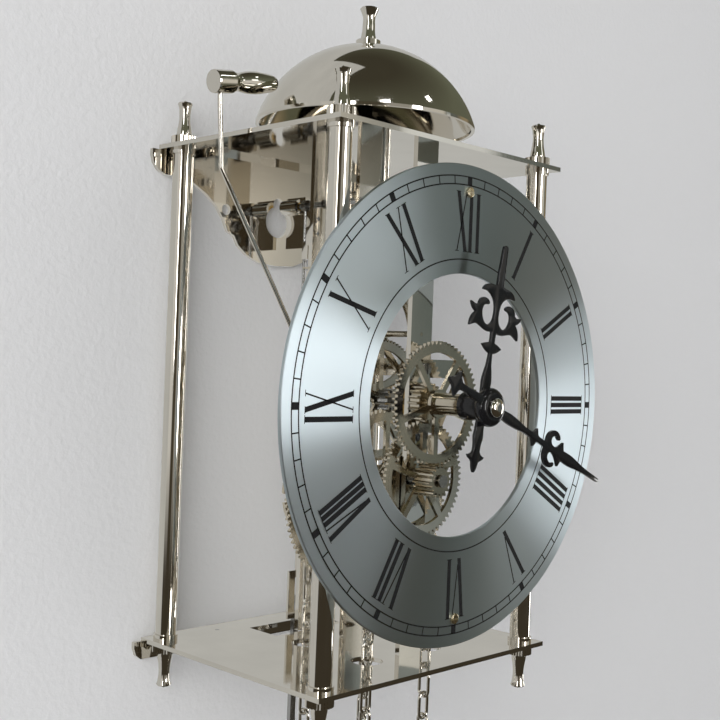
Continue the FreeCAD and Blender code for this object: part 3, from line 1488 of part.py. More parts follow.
parts["top_plate"] = make_top_plate()
parts["bottom_plate"] = make_bottom_plate()
for name, place in post_places.items():
    parts[name] = make_post(place[0], place[1])
parts["finials"] = make_finials()
parts["knurled_nuts"] = make_knurled_nuts()
parts["wall_bracket"] = make_wall_bracket()
parts["lower_spacer"] = make_lower_spacer()
parts["frame_screws"] = make_frame_screws()
parts["front_bar"] = make_front_bar()
parts["middle_bar"] = make_middle_bar()
parts["rear_bar"] = make_rear_bar()
parts["dial_ring"] = make_dial_ring()
parts["dial_feet"] = make_dial_feet()
parts["dial_screws"] = make_dial_screws()
parts["bell"] = make_bell()
parts["bell_stand"] = make_bell_stand()
parts["bell_finial"] = make_bell_finial()
parts["anchor_cock"] = make_anchor_cock()
parts["anchor_bushing"] = make_anchor_bushing()
parts["anchor_arbor"] = make_anchor_arbor()
parts["anchor"] = make_anchor()
parts["crutch"] = make_crutch()
parts["suspension_block"] = make_suspension_block()
parts["suspension_blade"] = make_suspension_blade()
parts["pendulum_leader"] = make_pendulum_leader()
parts["pendulum_rod"] = make_pendulum_rod()
parts["pendulum_bob"] = make_pendulum_bob()
parts["rating_nut"] = make_rating_nut()
parts["motion_stud"] = make_motion_stud()
parts["centre_arbor"] = make_centre_arbor()
parts["centre_wheel"] = make_centre_wheel()
parts["cannon_pinion"] = make_cannon_pinion()
parts["tension_washer"] = make_tension_washer()
parts["minute_hand"] = make_minute_hand()
parts["hand_nut"] = make_hand_nut()
parts["hour_wheel"] = make_hour_wheel()
parts["hour_hand"] = make_hour_hand()
parts["minute_wheel"] = make_minute_wheel()
parts["great_arbor"] = make_great_arbor()
parts["great_wheel"] = make_great_wheel(great_wheel_from_dial)
parts["chain_wheel"] = chain_wheel(going_chain_y, great_z)
parts["third_wheel"] = make_third_wheel()
parts["escape_wheel"] = make_escape_wheel()
parts["strike_great_wheel"] = make_strike_great_wheel()
parts["strike_chain_wheel"] = chain_wheel(strike_chain_y, great_z)
parts["count_wheel"] = make_count_wheel()
parts["pin_wheel"] = make_pin_wheel()
parts["locking_wheel"] = make_locking_wheel()
parts["fly"] = make_fly()
parts["hammer_head"] = make_hammer_head()
parts["hammer_rod"] = make_hammer_rod()
parts["hammer_arbor"] = make_hammer_arbor()
parts["lifting_lever"] = make_lifting_lever()
parts["going_chain"] = make_chain(going_chain_y, 1)
parts["strike_chain"] = make_chain(strike_chain_y, -1)
parts["going_weight"] = make_weight(going_chain_y, 1)
parts["strike_weight"] = make_weight(strike_chain_y, -1)

os.makedirs("parts", exist_ok=True)
for name, shape in parts.items():
    shape.exportStep("parts/" + name + ".step")
    box_of = shape.BoundBox
    print(name, len(shape.Solids), shape.isValid(), round(shape.Volume, 1),
          [round(v, 1) for v in (box_of.XMin, box_of.XMax, box_of.YMin, box_of.YMax,
                                 box_of.ZMin, box_of.ZMax)])
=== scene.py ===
"""Looks of a skeleton wall clock: finishes, dial print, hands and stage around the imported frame."""

import math

import bmesh
import bpy
from bpy.props import FloatProperty, FloatVectorProperty, IntProperty, PointerProperty
from mathutils import Matrix, Vector


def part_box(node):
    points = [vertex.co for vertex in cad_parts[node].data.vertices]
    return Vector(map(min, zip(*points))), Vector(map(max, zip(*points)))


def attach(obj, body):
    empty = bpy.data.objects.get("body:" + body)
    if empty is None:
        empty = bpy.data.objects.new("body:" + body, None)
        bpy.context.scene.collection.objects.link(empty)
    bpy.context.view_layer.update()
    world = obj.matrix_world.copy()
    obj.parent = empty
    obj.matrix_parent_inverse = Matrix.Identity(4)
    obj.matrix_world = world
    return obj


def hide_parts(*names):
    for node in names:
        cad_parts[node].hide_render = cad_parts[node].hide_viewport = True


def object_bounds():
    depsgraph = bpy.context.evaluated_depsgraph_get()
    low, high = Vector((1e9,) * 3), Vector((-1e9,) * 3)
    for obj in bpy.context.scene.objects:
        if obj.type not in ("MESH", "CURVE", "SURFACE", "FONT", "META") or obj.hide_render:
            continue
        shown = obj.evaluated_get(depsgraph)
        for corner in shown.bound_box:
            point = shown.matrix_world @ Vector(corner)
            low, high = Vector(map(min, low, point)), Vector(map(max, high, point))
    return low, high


bl_info = {
    "name": "Skeleton wall clock",
    "version": (1, 0, 0),
    "blender": (4, 5, 0),
    "location": "View3D > Sidebar > Wall Clock",
    "description": "Finishes, dial print, hands and stage of a skeleton wall clock",
    "category": "Add Mesh",
}

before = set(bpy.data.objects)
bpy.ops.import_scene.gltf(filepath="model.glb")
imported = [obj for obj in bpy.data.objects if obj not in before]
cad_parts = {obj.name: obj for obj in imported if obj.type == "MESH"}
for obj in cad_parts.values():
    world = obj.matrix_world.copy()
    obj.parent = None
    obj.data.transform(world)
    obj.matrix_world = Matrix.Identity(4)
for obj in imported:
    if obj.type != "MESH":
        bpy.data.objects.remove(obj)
cad_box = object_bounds()
dial_low, dial_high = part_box("dial_ring")

# ---------------------------------------------------------------- finishes of the nodes

POLISHED_NICKEL = (
    "bell",
    "finials",
    "bell_finial",
    "bell_stand",
    "hammer_head",
    "hammer_rod",
    "post_front_left",
    "post_front_right",
    "post_back_left",
    "post_back_right",
    "knurled_nuts",
    "top_plate",
    "bottom_plate",
    "wall_bracket",
    "lower_spacer",
    "hand_nut",
    "going_weight",
    "strike_weight",
    "going_chain",
    "strike_chain",
    "dial_feet",
    "front_bar",
    "middle_bar",
    "rear_bar",
    "anchor_cock",
    "suspension_block",
    "pendulum_leader",
)
SATIN_NICKEL = (
    "lifting_lever",
    "fly",
    "hammer_arbor",
    "cannon_pinion",
)
TURNED_NICKEL = (
    "centre_wheel",
    "hour_wheel",
    "minute_wheel",
    "great_wheel",
    "chain_wheel",
    "third_wheel",
    "escape_wheel",
    "strike_great_wheel",
    "strike_chain_wheel",
    "count_wheel",
    "pin_wheel",
    "locking_wheel",
)
PALE_BRASS = ("dial_screws",)
BRASS = ("anchor_bushing", "rating_nut", "pendulum_bob", "tension_washer")
BRUSHED_STEEL = (
    "frame_screws",
    "anchor_arbor",
    "anchor",
    "crutch",
    "pendulum_rod",
    "motion_stud",
    "centre_arbor",
    "great_arbor",
)
SPRING_STEEL = ("suspension_blade",)
HANDS = {"minute_hand": "minute_train", "hour_hand": "hour_work"}

# ---------------------------------------------------------------- dial numerals

# Each numeral is read from the dial's centre outwards. Places are across it, in millimetres:
# ("bar", place), ("vee", foot, left top, right top) or ("ex", middle, half width).
NUMERALS = {
    1: [("bar", 0.0)],
    2: [("bar", -1.2), ("bar", 1.2)],
    3: [("bar", -2.25), ("bar", 0.0), ("bar", 2.25)],
    4: [("bar", -3.75), ("bar", -1.25), ("bar", 1.25), ("bar", 3.75)],
    5: [("vee", -0.2, -2.8, 2.9)],
    6: [("vee", -1.5, -3.6, 0.9), ("bar", 3.1)],
    7: [("vee", -2.5, -4.5, -0.5), ("bar", 1.4), ("bar", 3.9)],
    8: [("vee", -3.4, -4.7, -1.7), ("bar", 0.1), ("bar", 2.1), ("bar", 4.1)],
    9: [("bar", -3.7), ("ex", 1.2, 2.3)],
    10: [("ex", 0.0, 2.6)],
    11: [("ex", -1.7, 2.6), ("bar", 3.4)],
    12: [("ex", -3.2, 2.0), ("bar", 1.1), ("bar", 4.6)],
}
# Serifs of the hairlines and of the slanted bars, as shares of a bar's serif.
LONG_SERIF = 1.6
SHORT_SERIF = 0.7
# Where the hairline of a vee starts: shares of the numeral's height and of a bar's width.
VEE_START = 0.1
VEE_INSIDE = 0.3
MILLIMETRE = 0.001
HOURS = 12
MINUTES = 60


# ---------------------------------------------------------------- sizes and colours


def length(name, description, default):
    """A size that the panel shows."""
    return FloatProperty(
        name=name,
        description=description,
        default=default,
        unit="LENGTH",
        subtype="DISTANCE",
        precision=5,
    )


def tint(name, description, default):
    """A colour that the panel shows."""
    return FloatVectorProperty(
        name=name, description=description, default=default, size=3, min=0.0, max=1.0, subtype="COLOR"
    )


class ClockSizes(bpy.types.PropertyGroup):
    """Sizes of the dial, its print, the hands' edges and the fine lines of the finishes."""

    print_height: length("Print height", "How far the print stands on the dial", 0.00003)
    numeral_inner: length("Numeral foot", "Radius where the numerals start", 0.0478)
    numeral_outer: length("Numeral top", "Radius where the numerals end", 0.0664)
    thick_stroke: length("Thick stroke", "Width of a bar", 0.00155)
    thin_stroke: length("Thin stroke", "Width of a hairline stroke", 0.00048)
    serif: length("Serif", "How far a serif runs past its bar", 0.00042)
    serif_width: length("Serif width", "Width of a serif", 0.00022)
    track_inner: length("Track inside", "Radius of the inner line of the minute track", 0.0686)
    track_outer: length("Track outside", "Radius of the outer line of the minute track", 0.0712)
    track_line: length("Track line", "Width of the lines and ticks of the track", 0.00042)
    hour_block: length("Hour block", "Width of the block at each hour of the track", 0.0021)
    inner_line: length("Inner line", "Radius of the line round the opening", 0.0455)
    turning_pitch: length("Turning pitch", "Distance between the lines of turned work", 0.00012)
    brushing_pitch: length("Brushing pitch", "Distance between the lines of the brushed dial", 0.00008)
    opening: length("Opening", "Radius of the opening of the dial", 0.041)
    dial_ease: length("Dial edge", "How far the edges of the dial are eased", 0.0002)
    hand_ease: length("Hand edge", "How far the edges of the hands are eased", 0.00022)
    weld: length("Weld", "Points nearer than this become one", 0.000002)
    ring_steps: IntProperty(
        name="Ring steps", description="Faces round the dial and its printed lines", default=288, min=24
    )


class ClockColours(bpy.types.PropertyGroup):
    """Colours of the finishes and of the stage."""

    nickel: tint("Nickel", "Polished plate", (0.82, 0.785, 0.72))
    satin: tint("Satin nickel", "Milled and turned work", (0.72, 0.66, 0.55))
    brass: tint("Brass", "Screws and bushings", (0.74, 0.54, 0.24))
    pale_brass: tint("Pale brass", "Screws of the dial", (0.8, 0.7, 0.5))
    silver: tint("Silvered dial", "Brushed ring of the dial", (0.6, 0.68, 0.73))
    steel: tint("Steel", "Arbors and rods", (0.5, 0.5, 0.5))
    spring: tint("Spring steel", "Blade of the suspension", (0.3, 0.33, 0.4))
    enamel: tint("Black enamel", "Hands and print", (0.007, 0.007, 0.008))
    wall: tint("Wall", "Wall behind the clock", (0.78, 0.78, 0.785))
    # Colour of the glowing sheet, no lamp, that paints the wall's reflection into the metal.
    painted_wall_glow: tint("Wall in the metal", "Wall as it shows in the metal", (0.52, 0.52, 0.5))
    floor: tint("Floor", "Floor under the clock", (0.78, 0.78, 0.785))


def sizes():
    """The sizes kept with the scene."""
    return bpy.context.scene.clock_sizes


def colours():
    """The colours kept with the scene."""
    return bpy.context.scene.clock_colours


# ---------------------------------------------------------------- shader maths


class Value:
    """A socket that can be used in arithmetic."""

    def __init__(self, nodes, socket):
        self.nodes = nodes
        self.socket = socket

    def _maths(self, operation, first, second):
        return self.nodes.add("ShaderNodeMath", {"operation": operation}, {0: first, 1: second})

    def __add__(self, other):
        return self._maths("ADD", self, other)

    def __radd__(self, other):
        return self._maths("ADD", other, self)

    def __sub__(self, other):
        return self._maths("SUBTRACT", self, other)

    def __rsub__(self, other):
        return self._maths("SUBTRACT", other, self)

    def __mul__(self, other):
        return self._maths("MULTIPLY", self, other)

    def __rmul__(self, other):
        return self._maths("MULTIPLY", other, self)

    def __truediv__(self, other):
        return self._maths("DIVIDE", self, other)

    def __rtruediv__(self, other):
        return self._maths("DIVIDE", other, self)


class Nodes:
    """A node tree under construction."""

    def __init__(self, tree):
        self.tree = tree

    def add(self, kind, settings=None, inputs=None, out=0):
        """Adds a node, sets it up, fills its sockets and returns one of its outputs."""
        node = self.tree.nodes.new(kind)
        for key, value in (settings or {}).items():
            if key == "stops":
                ramp = node.color_ramp
                while len(ramp.elements) < len(value):
                    ramp.elements.new(1.0)
                for element, (place, colour) in zip(ramp.elements, value):
                    element.position = place
                    element.color = (*colour, 1.0)
            else:
                setattr(node, key, value)
        for key, value in (inputs or {}).items():
            if isinstance(value, Value):
                self.tree.links.new(value.socket, node.inputs[key])
            elif node.inputs[key].type == "RGBA":
                node.inputs[key].default_value = (*value[:3], 1.0)
            else:
                node.inputs[key].default_value = value
        return Value(self, node.outputs[out]) if node.outputs else None

    def vector(self, operation, first, second=None, out="Vector"):
        inputs = {0: first} if second is None else {0: first, 1: second}
        return self.add("ShaderNodeVectorMath", {"operation": operation}, inputs, out)

    def noise(self, vector, scale, detail=3.0, rough=0.55):
        return self.add(
            "ShaderNodeTexNoise",
            inputs={"Vector": vector, "Scale": scale, "Detail": detail, "Roughness": rough},
        )

    def spread(self, value, low, high, start=0.3, end=0.7):
        """Takes a value from one range to another."""
        span = {"Value": value, "From Min": start, "From Max": end, "To Min": low, "To Max": high}
        return self.add("ShaderNodeMapRange", inputs=span)

    def blend(self, factor, first, second):
        """A colour between two others."""
        return self.add("ShaderNodeMix", {"data_type": "RGBA"}, {0: factor, 6: first, 7: second}, 2)

    def mottled(self, colour, scale, share):
        """A colour that clouds over to a darker one."""
        cloud = self.noise(self.place(), scale)
        return self.blend(self.spread(cloud, 0.0, 1.0), [part * share for part in colour], colour)

    def place(self):
        return self.add("ShaderNodeTexCoord", out="Object")

    def bump(self, height, strength, distance):
        return self.add(
            "ShaderNodeBump", inputs={"Strength": strength, "Distance": distance, "Height": height}
        )


class Surface(Nodes):
    """A material under construction."""

    def __init__(self, name, **uniform):
        self.material = bpy.data.materials.new(name)
        self.material.use_nodes = True
        super().__init__(self.material.node_tree)
        self.shader = self.tree.nodes["Principled BSDF"]
        for socket, value in uniform.items():
            value = (*value, 1.0) if socket.endswith("Color") else value
            self.shader.inputs[socket.replace("_", " ")].default_value = value

    def feed(self, **links):
        """Links values to sockets of the shader and returns the material."""
        for socket, value in links.items():
            self.tree.links.new(value.socket, self.shader.inputs[socket.replace("_", " ")])
        return self.material


# Between which limits each finish is rough.
POLISHED_ROUGHNESS = (0.03, 0.07)
SATIN_ROUGHNESS = (0.14, 0.26)
TURNED_ROUGHNESS = (0.08, 0.16)
BRUSHED_ROUGHNESS = (0.33, 0.37)
# How far the lines of turned and of brushed work lean.
TURNED_TILT = 0.25
BRUSHED_TILT = 0.05
# How much the brushing stretches a highlight, and the turn that stretches it towards the centre.
BRUSH_STRETCH = 0.97
BRUSH_TURN = 0.25


def polished(name, colour):
    """A mirror finish with faint wiping marks and a breath of tarnish."""
    surface = Surface(name, Metallic=1.0)
    place = surface.place()
    cloud = surface.noise(place, 60.0)
    wipes = surface.noise(surface.vector("MULTIPLY", place, (900.0, 700.0, 60.0)), 1.0, 2.0)
    rough = surface.spread(cloud, *POLISHED_ROUGHNESS) + surface.spread(wipes, 0.0, 0.02)
    return surface.feed(Base_Color=surface.mottled(colour, 60.0, 0.93), Roughness=rough)


def satin(name, colour):
    """A grained finish whose fine lines run along the piece."""
    surface = Surface(name, Metallic=1.0)
    lines = surface.noise(surface.vector("MULTIPLY", surface.place(), (90.0, 90.0, 5200.0)), 1.0)
    return surface.feed(
        Base_Color=surface.mottled(colour, 90.0, 0.88),
        Roughness=surface.spread(lines, *SATIN_ROUGHNESS),
        Normal=surface.bump(lines, 0.08, 0.00002),
    )


def ringed(surface, centre, pitch, tilt, plane=(1.0, 0.0, 1.0)):
    """A normal that leans to and from the centre along fine rings, and the line it leans with."""
    from_centre = surface.vector("SUBTRACT", surface.place(), tuple(centre))
    flat = surface.vector("MULTIPLY", from_centre, plane)
    radius = surface.vector("LENGTH", flat, out="Value")
    outward = surface.vector("NORMALIZE", flat)
    rings = surface.add("ShaderNodeCombineXYZ", inputs={"X": radius / pitch})
    line = surface.noise(rings, 1.0, 2.0, 0.6)
    turn = {"vector_type": "VECTOR", "convert_from": "OBJECT", "convert_to": "WORLD"}
    aside = surface.add("ShaderNodeVectorTransform", turn, {0: outward})
    lean = surface.add(
        "ShaderNodeVectorMath", {"operation": "SCALE"}, {0: aside, "Scale": (line - 0.5) * tilt}
    )
    straight = surface.add("ShaderNodeNewGeometry", out="Normal")
    return surface.vector("NORMALIZE", surface.vector("ADD", straight, lean)), line


def turned(name, colour, centre, pitch):
    """A finish turned round the given centre."""
    surface = Surface(name, Metallic=1.0)
    normal, line = ringed(surface, centre, pitch, TURNED_TILT)
    return surface.feed(
        Base_Color=surface.mottled(colour, 80.0, 0.92),
        Roughness=surface.spread(line, *TURNED_ROUGHNESS),
        Normal=normal,
    )


def brushed(name, colour, pitch):
    """A silvered finish brushed round the middle of the piece, which stretches its highlights."""
    surface = Surface(name, Metallic=1.0, Anisotropic=BRUSH_STRETCH, Anisotropic_Rotation=BRUSH_TURN)
    normal, line = ringed(surface, (0.0, 0.0, 0.0), pitch, BRUSHED_TILT, (1.0, 1.0, 0.0))
    return surface.feed(
        Base_Color=surface.mottled(colour, 30.0, 0.96),
        Roughness=surface.spread(line, *BRUSHED_ROUGHNESS),
        Normal=normal,
    )


def enamelled(name, colour):
    """Black gloss enamel with a soft orange peel."""
    surface = Surface(
        name, Base_Color=colour, Specular_IOR_Level=0.35, Coat_Weight=0.2, Coat_Roughness=0.05
    )
    peel = surface.noise(surface.place(), 1400.0)
    return surface.feed(
        Roughness=surface.spread(peel, 0.08, 0.16), Normal=surface.bump(peel, 0.04, 0.00003)
    )


def inked(name, colour):
    """Matt printing ink, a little thinner in places."""
    surface = Surface(name, Specular_IOR_Level=0.15)
    grain = surface.noise(surface.place(), 2600.0)
    thinner = [part * 1.8 for part in colour]
    return surface.feed(
        Base_Color=surface.blend(surface.spread(grain, 0.0, 1.0), colour, thinner),
        Roughness=surface.spread(grain, 0.5, 0.65),
    )


# ---------------------------------------------------------------- building


def linked(name, data, material=None):
    """An object with the given data, in the collection of the scene."""
    item = bpy.data.objects.new(name, data)
    bpy.context.scene.collection.objects.link(item)
    if material:
        data.materials.append(material)
    return item


def moulded(name, bm, material):
    """An object made of a finished bmesh."""
    mesh = bpy.data.meshes.new(name)
    bm.to_mesh(mesh)
    bm.free()
    return linked(name, mesh, material)


def dress(names, material):
    """Gives the nodes a finish."""
    for name in names:
        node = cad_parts[name]
        for place in range(len(node.data.materials)):
            node.data.materials[place] = material


def centre_of(name):
    """The middle of a node's box."""
    low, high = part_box(name)
    return (low + high) / 2


# ---------------------------------------------------------------- dial


class CLOCK_OT_dial(bpy.types.Operator):
    """Make the silvered ring of the dial, brushed round its centre"""

    bl_idname = "clock.dial"
    bl_label = "Dial ring"

    def execute(self, context):
        s = sizes()
        outer = (dial_high.x - dial_low.x) / 2
        thick = dial_high.y - dial_low.y
        ease = s.dial_ease
        profile = (
            (s.opening, 0.0),
            (s.opening, thick - ease),
            (s.opening + ease, thick),
            (outer - ease, thick),
            (outer, thick - ease),
            (outer, 0.0),
        )
        bm = bmesh.new()
        turns = [math.tau * k / s.ring_steps for k in range(s.ring_steps)]
        rings = []
        for radius, height in profile:
            points = [(radius * math.cos(turn), radius * math.sin(turn), height) for turn in turns]
            rings.append([bm.verts.new(point) for point in points])
        for near, far in zip(rings, rings[1:] + rings[:1]):
            for k in range(s.ring_steps):
                after = (k + 1) % s.ring_steps
                bm.faces.new((near[k], far[k], far[after], near[after]))
        bmesh.ops.recalc_face_normals(bm, faces=bm.faces)
        silver = brushed("silvered_dial", tuple(colours().silver), s.brushing_pitch)
        ring = moulded("dial", bm, silver)
        centre = centre_of("dial_ring")
        place = Matrix.Translation((centre.x, dial_high.y, centre.z))
        ring.matrix_world = place @ Matrix.Rotation(math.pi / 2, 4, "X")
        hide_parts("dial_ring")
        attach(ring, "frame")
        return {"FINISHED"}


# ---------------------------------------------------------------- dial print


def dial_point(radius, angle, across, depth):
    """A point on the dial's face, from its radius, its angle from twelve and a step across."""
    centre = (dial_low + dial_high) / 2
    x = radius * math.sin(angle) + across * math.cos(angle)
    z = radius * math.cos(angle) - across * math.sin(angle)
    return Vector((centre.x + x, dial_low.y - depth, centre.z + z))


def printed(bm, outline, angle):
    """A raised patch of print from an outline of (radius, step across)."""
    height = sizes().print_height
    front = [bm.verts.new(dial_point(r, angle, s, height)) for r, s in outline]
    back = [bm.verts.new(dial_point(r, angle, s, -height)) for r, s in outline]
    bm.faces.new(front)
    bm.faces.new(back[::-1])
    for here in range(len(front)):
        there = (here + 1) % len(front)
        bm.faces.new((front[here], back[here], back[there], front[there]))


def printed_stroke(bm, angle, foot, top, width, radii=None):
    """A stroke from its place at the foot to its place at the top of the numeral."""
    inner, outer = radii or (sizes().numeral_inner, sizes().numeral_outer)
    half = width / 2
    bottom = [(inner, foot - half), (inner, foot + half)]
    printed(bm, bottom + [(outer, top + half), (outer, top - half)], angle)


def printed_serif(bm, angle, radius, place, width, reach, side):
    """A hairline across the end of a stroke."""
    left = place - width / 2 - reach
    right = place + width / 2 + reach
    far = radius + side * sizes().serif_width
    printed(bm, [(radius, left), (radius, right), (far, right), (far, left)], angle)


def printed_ring(bm, middle, width):
    """A printed circle."""
    steps = sizes().ring_steps
    height = sizes().print_height
    loops = []
    for radius, depth in (
        (middle - width / 2, height),
        (middle + width / 2, height),
        (middle + width / 2, -height),
        (middle - width / 2, -height),
    ):
        points = [dial_point(radius, math.tau * k / steps, 0.0, depth) for k in range(steps)]
        loops.append([bm.verts.new(point) for point in points])
    for near, far in zip(loops, loops[1:] + loops[:1]):
        for k in range(steps):
            after = (k + 1) % steps
            bm.faces.new((near[k], near[after], far[after], far[k]))


def printed_numeral(bm, hour):
    """One numeral at its hour."""
    angle = math.tau * hour / HOURS
    s = sizes()
    inner, outer = s.numeral_inner, s.numeral_outer
    long_serif = s.serif * LONG_SERIF
    short_serif = s.serif * SHORT_SERIF
    for kind, *places in NUMERALS[hour]:
        places = [place * MILLIMETRE for place in places]
        if kind == "bar":
            printed_stroke(bm, angle, places[0], places[0], s.thick_stroke)
            printed_serif(bm, angle, inner, places[0], s.thick_stroke, s.serif, 1)
            printed_serif(bm, angle, outer, places[0], s.thick_stroke, s.serif, -1)
        elif kind == "vee":
            foot, left, right = places
            printed_stroke(bm, angle, foot, left, s.thick_stroke)
            printed_serif(bm, angle, outer, left, s.thick_stroke, s.serif, -1)
            start = inner + (outer - inner) * VEE_START
            inside = foot + s.thick_stroke * VEE_INSIDE
            printed_stroke(bm, angle, inside, right, s.thin_stroke, (start, outer))
            printed_serif(bm, angle, outer, right, s.thin_stroke, long_serif, -1)
        else:
            middle, half = places
            printed_stroke(bm, angle, middle + half, middle - half, s.thick_stroke)
            printed_stroke(bm, angle, middle - half, middle + half, s.thin_stroke)
            for radius, side in ((inner, 1), (outer, -1)):
                heavy = middle + half * side
                light = middle - half * side
                printed_serif(bm, angle, radius, heavy, s.thick_stroke, short_serif, side)
                printed_serif(bm, angle, radius, light, s.thin_stroke, long_serif, side)


class CLOCK_OT_dial_print(bpy.types.Operator):
    """Print the numerals, the minute track and the inner line on the dial"""

    bl_idname = "clock.dial_print"
    bl_label = "Dial print"

    def execute(self, context):
        s = sizes()
        ink = inked("dial_ink", tuple(colours().enamel))
        numerals = bmesh.new()
        for hour in NUMERALS:
            printed_numeral(numerals, hour)
        track = bmesh.new()
        for radius in (s.track_inner, s.track_outer, s.inner_line):
            printed_ring(track, radius, s.track_line)
        for minute in range(MINUTES):
            angle = math.tau * minute / MINUTES
            width = s.hour_block if minute % (MINUTES // HOURS) == 0 else s.track_line
            printed_stroke(track, angle, 0.0, 0.0, width, (s.track_inner, s.track_outer))
        for name, bm in (("numerals", numerals), ("minute_track", track)):
            bmesh.ops.recalc_face_normals(bm, faces=bm.faces)
            piece = moulded(name, bm, ink)
            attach(piece, "frame")
        return {"FINISHED"}


# ---------------------------------------------------------------- hands

# Edges flatter than the first angle go, and those sharper than the second are eased, in degrees.
FLAT_ANGLE = 0.5
SHARP_ANGLE = 40.0
EASE_SEGMENTS = 3


class CLOCK_OT_hands(bpy.types.Operator):
    """Give the two hands eased edges and black enamel"""

    bl_idname = "clock.hands"
    bl_label = "Hands"

    def execute(self, context):
        enamel = enamelled("black_enamel", tuple(colours().enamel))
        for name, body in HANDS.items():
            bm = bmesh.new()
            bm.from_mesh(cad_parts[name].data)
            bmesh.ops.remove_doubles(bm, verts=bm.verts, dist=sizes().weld)
            flat = math.radians(FLAT_ANGLE)
            bmesh.ops.dissolve_limit(bm, angle_limit=flat, verts=bm.verts, edges=bm.edges)
            for face in bm.faces:
                face.smooth = True
            piece = moulded(name + "_eased", bm, enamel)
            ease = piece.modifiers.new("ease", "BEVEL")
            ease.width = sizes().hand_ease
            ease.segments = EASE_SEGMENTS
            ease.limit_method = "ANGLE"
            ease.angle_limit = math.radians(SHARP_ANGLE)
            ease.harden_normals = True
            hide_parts(name)
            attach(piece, body)
        return {"FINISHED"}


# ---------------------------------------------------------------- finishes


class CLOCK_OT_finishes(bpy.types.Operator):
    """Give every node of the movement and the frame its finish"""

    bl_idname = "clock.finishes"
    bl_label = "Finishes"

    def execute(self, context):
        c = colours()
        s = sizes()
        dress(POLISHED_NICKEL, polished("polished_nickel", tuple(c.nickel)))
        dress(SATIN_NICKEL, satin("satin_nickel", tuple(c.satin)))
        dress(BRASS, satin("brushed_brass", tuple(c.brass)))
        dress(PALE_BRASS, satin("pale_brass", tuple(c.pale_brass)))
        dress(BRUSHED_STEEL, satin("brushed_steel", tuple(c.steel)))
        dress(SPRING_STEEL, satin("blued_spring", tuple(c.spring)))
        for name in TURNED_NICKEL:
            finish = turned("turned_" + name, tuple(c.satin), centre_of(name), s.turning_pitch)
            dress((name,), finish)
        return {"FINISHED"}


# ---------------------------------------------------------------- stage


# Painted reflection, glowing from a dome that is no lamp: what the metal shows of the room along
# the horizon: share of the way from left to right, colour.
PAINTED_HORIZON = (
    (0.0, (0.62, 0.61, 0.58)),
    (0.16, (0.6, 0.58, 0.54)),
    (0.21, (0.06, 0.048, 0.03)),
    (0.34, (0.06, 0.05, 0.035)),
    (0.37, (0.35, 0.33, 0.29)),
    (0.5, (0.32, 0.31, 0.27)),
    (0.58, (0.6, 0.58, 0.54)),
    (0.72, (0.6, 0.57, 0.5)),
    (0.76, (0.12, 0.14, 0.13)),
    (0.84, (0.12, 0.12, 0.1)),
    (0.9, (0.28, 0.22, 0.13)),
    (0.96, (0.3, 0.24, 0.15)),
    (1.0, (0.12, 0.105, 0.07)),
)
# Its painted colours below the horizon (painted shade), overhead and straight up, and the heights,
# as sines of the angle, between which each of them comes in.
PAINTED_SHADE = (0.045, 0.037, 0.025)
PAINTED_CEILING = (0.12, 0.125, 0.085)
PAINTED_ZENITH = (0.05, 0.045, 0.03)
SHADE_HEIGHTS = (-0.24, -0.12)
CEILING_HEIGHTS = (0.2, 0.42)
ZENITH_HEIGHTS = (0.55, 0.95)
ROOM_RADIUS = 2.3
ROOM_FACES_ROUND = 48
ROOM_FACES_UP = 24
# What shines in the metal: bearing and height in degrees, width and height in metres, radiance.
WINDOWS = (
    ("window_left", -57.0, 13.0, 0.16, 1.1, 9.0),
    ("window_front", 8.0, 3.0, 0.36, 0.9, 11.5),
    ("window_right", 74.0, -6.0, 0.32, 0.9, 6.0),
    ("window_high", 28.0, 22.0, 0.5, 0.45, 1.3),
    ("poster", 47.5, 9.5, 0.2, 0.24, 0.55),
    ("lamp_left", -56.0, 48.0, 0.16, 0.16, 8.0),
    ("lamp_front", -20.0, 48.0, 0.3, 0.2, 8.0),
    ("lamp_right", 42.0, 46.0, 0.16, 0.14, 7.0),
)
WINDOW_DISTANCE = 2.1
WINDOW_AIM = (0.0, -0.05, 0.0)
# The lamp of the matt surfaces: distance, width, bearing and height in degrees, aim, spread, radiance.
SOFT_DISTANCE = 1.9
SOFT_WIDTH = 2.0
SOFT_BEARING = -64.0
SOFT_RISE = 3.0
SOFT_AIM = (0.0, 0.0, -0.05)
SOFT_SPREAD = 100.0
SOFT_RADIANCE = 1.5
# The world's light, and the backdrop that the camera and the metal see.
WORLD_LIGHT = 0.52
BACKDROP = (0.8, 0.8, 0.805)
# The sheets: how far they reach, how far the wall and the glowing sheet that paints its reflection
# stand behind the clock, and how far the floor lies below it.
STAGE_REACH = 2.6
WALL_GAP = 0.0004
IMAGE_GAP = 0.0002
FLOOR_DROP = 0.02
# The glowing sheet that paints the wall's reflection goes down in two steps towards the right, where
# the painted room shows as painted shade: their places, and its top right of each.
IMAGE_STEPS = (-0.02, 0.12)
IMAGE_TOPS = (0.15, 0.015)
# The camera: its place, where it looks, which way is up, its lens and its sensor in millimetres.
CAMERA_PLACE = (-0.2718, -0.3153, -0.0560)
CAMERA_FORWARD = (0.7114, 0.7028, -0.0001)
CAMERA_UP = (-0.0264, 0.0268, 0.9993)
CAMERA_LENS = 56.13
CAMERA_SENSOR = 36.0
CAMERA_NEAR = 0.01


def sheet(name, corners, material):
    """A flat sheet of the stage."""
    bm = bmesh.new()
    bm.faces.new([bm.verts.new(corner) for corner in corners])
    piece = moulded(name, bm, material)
    return piece


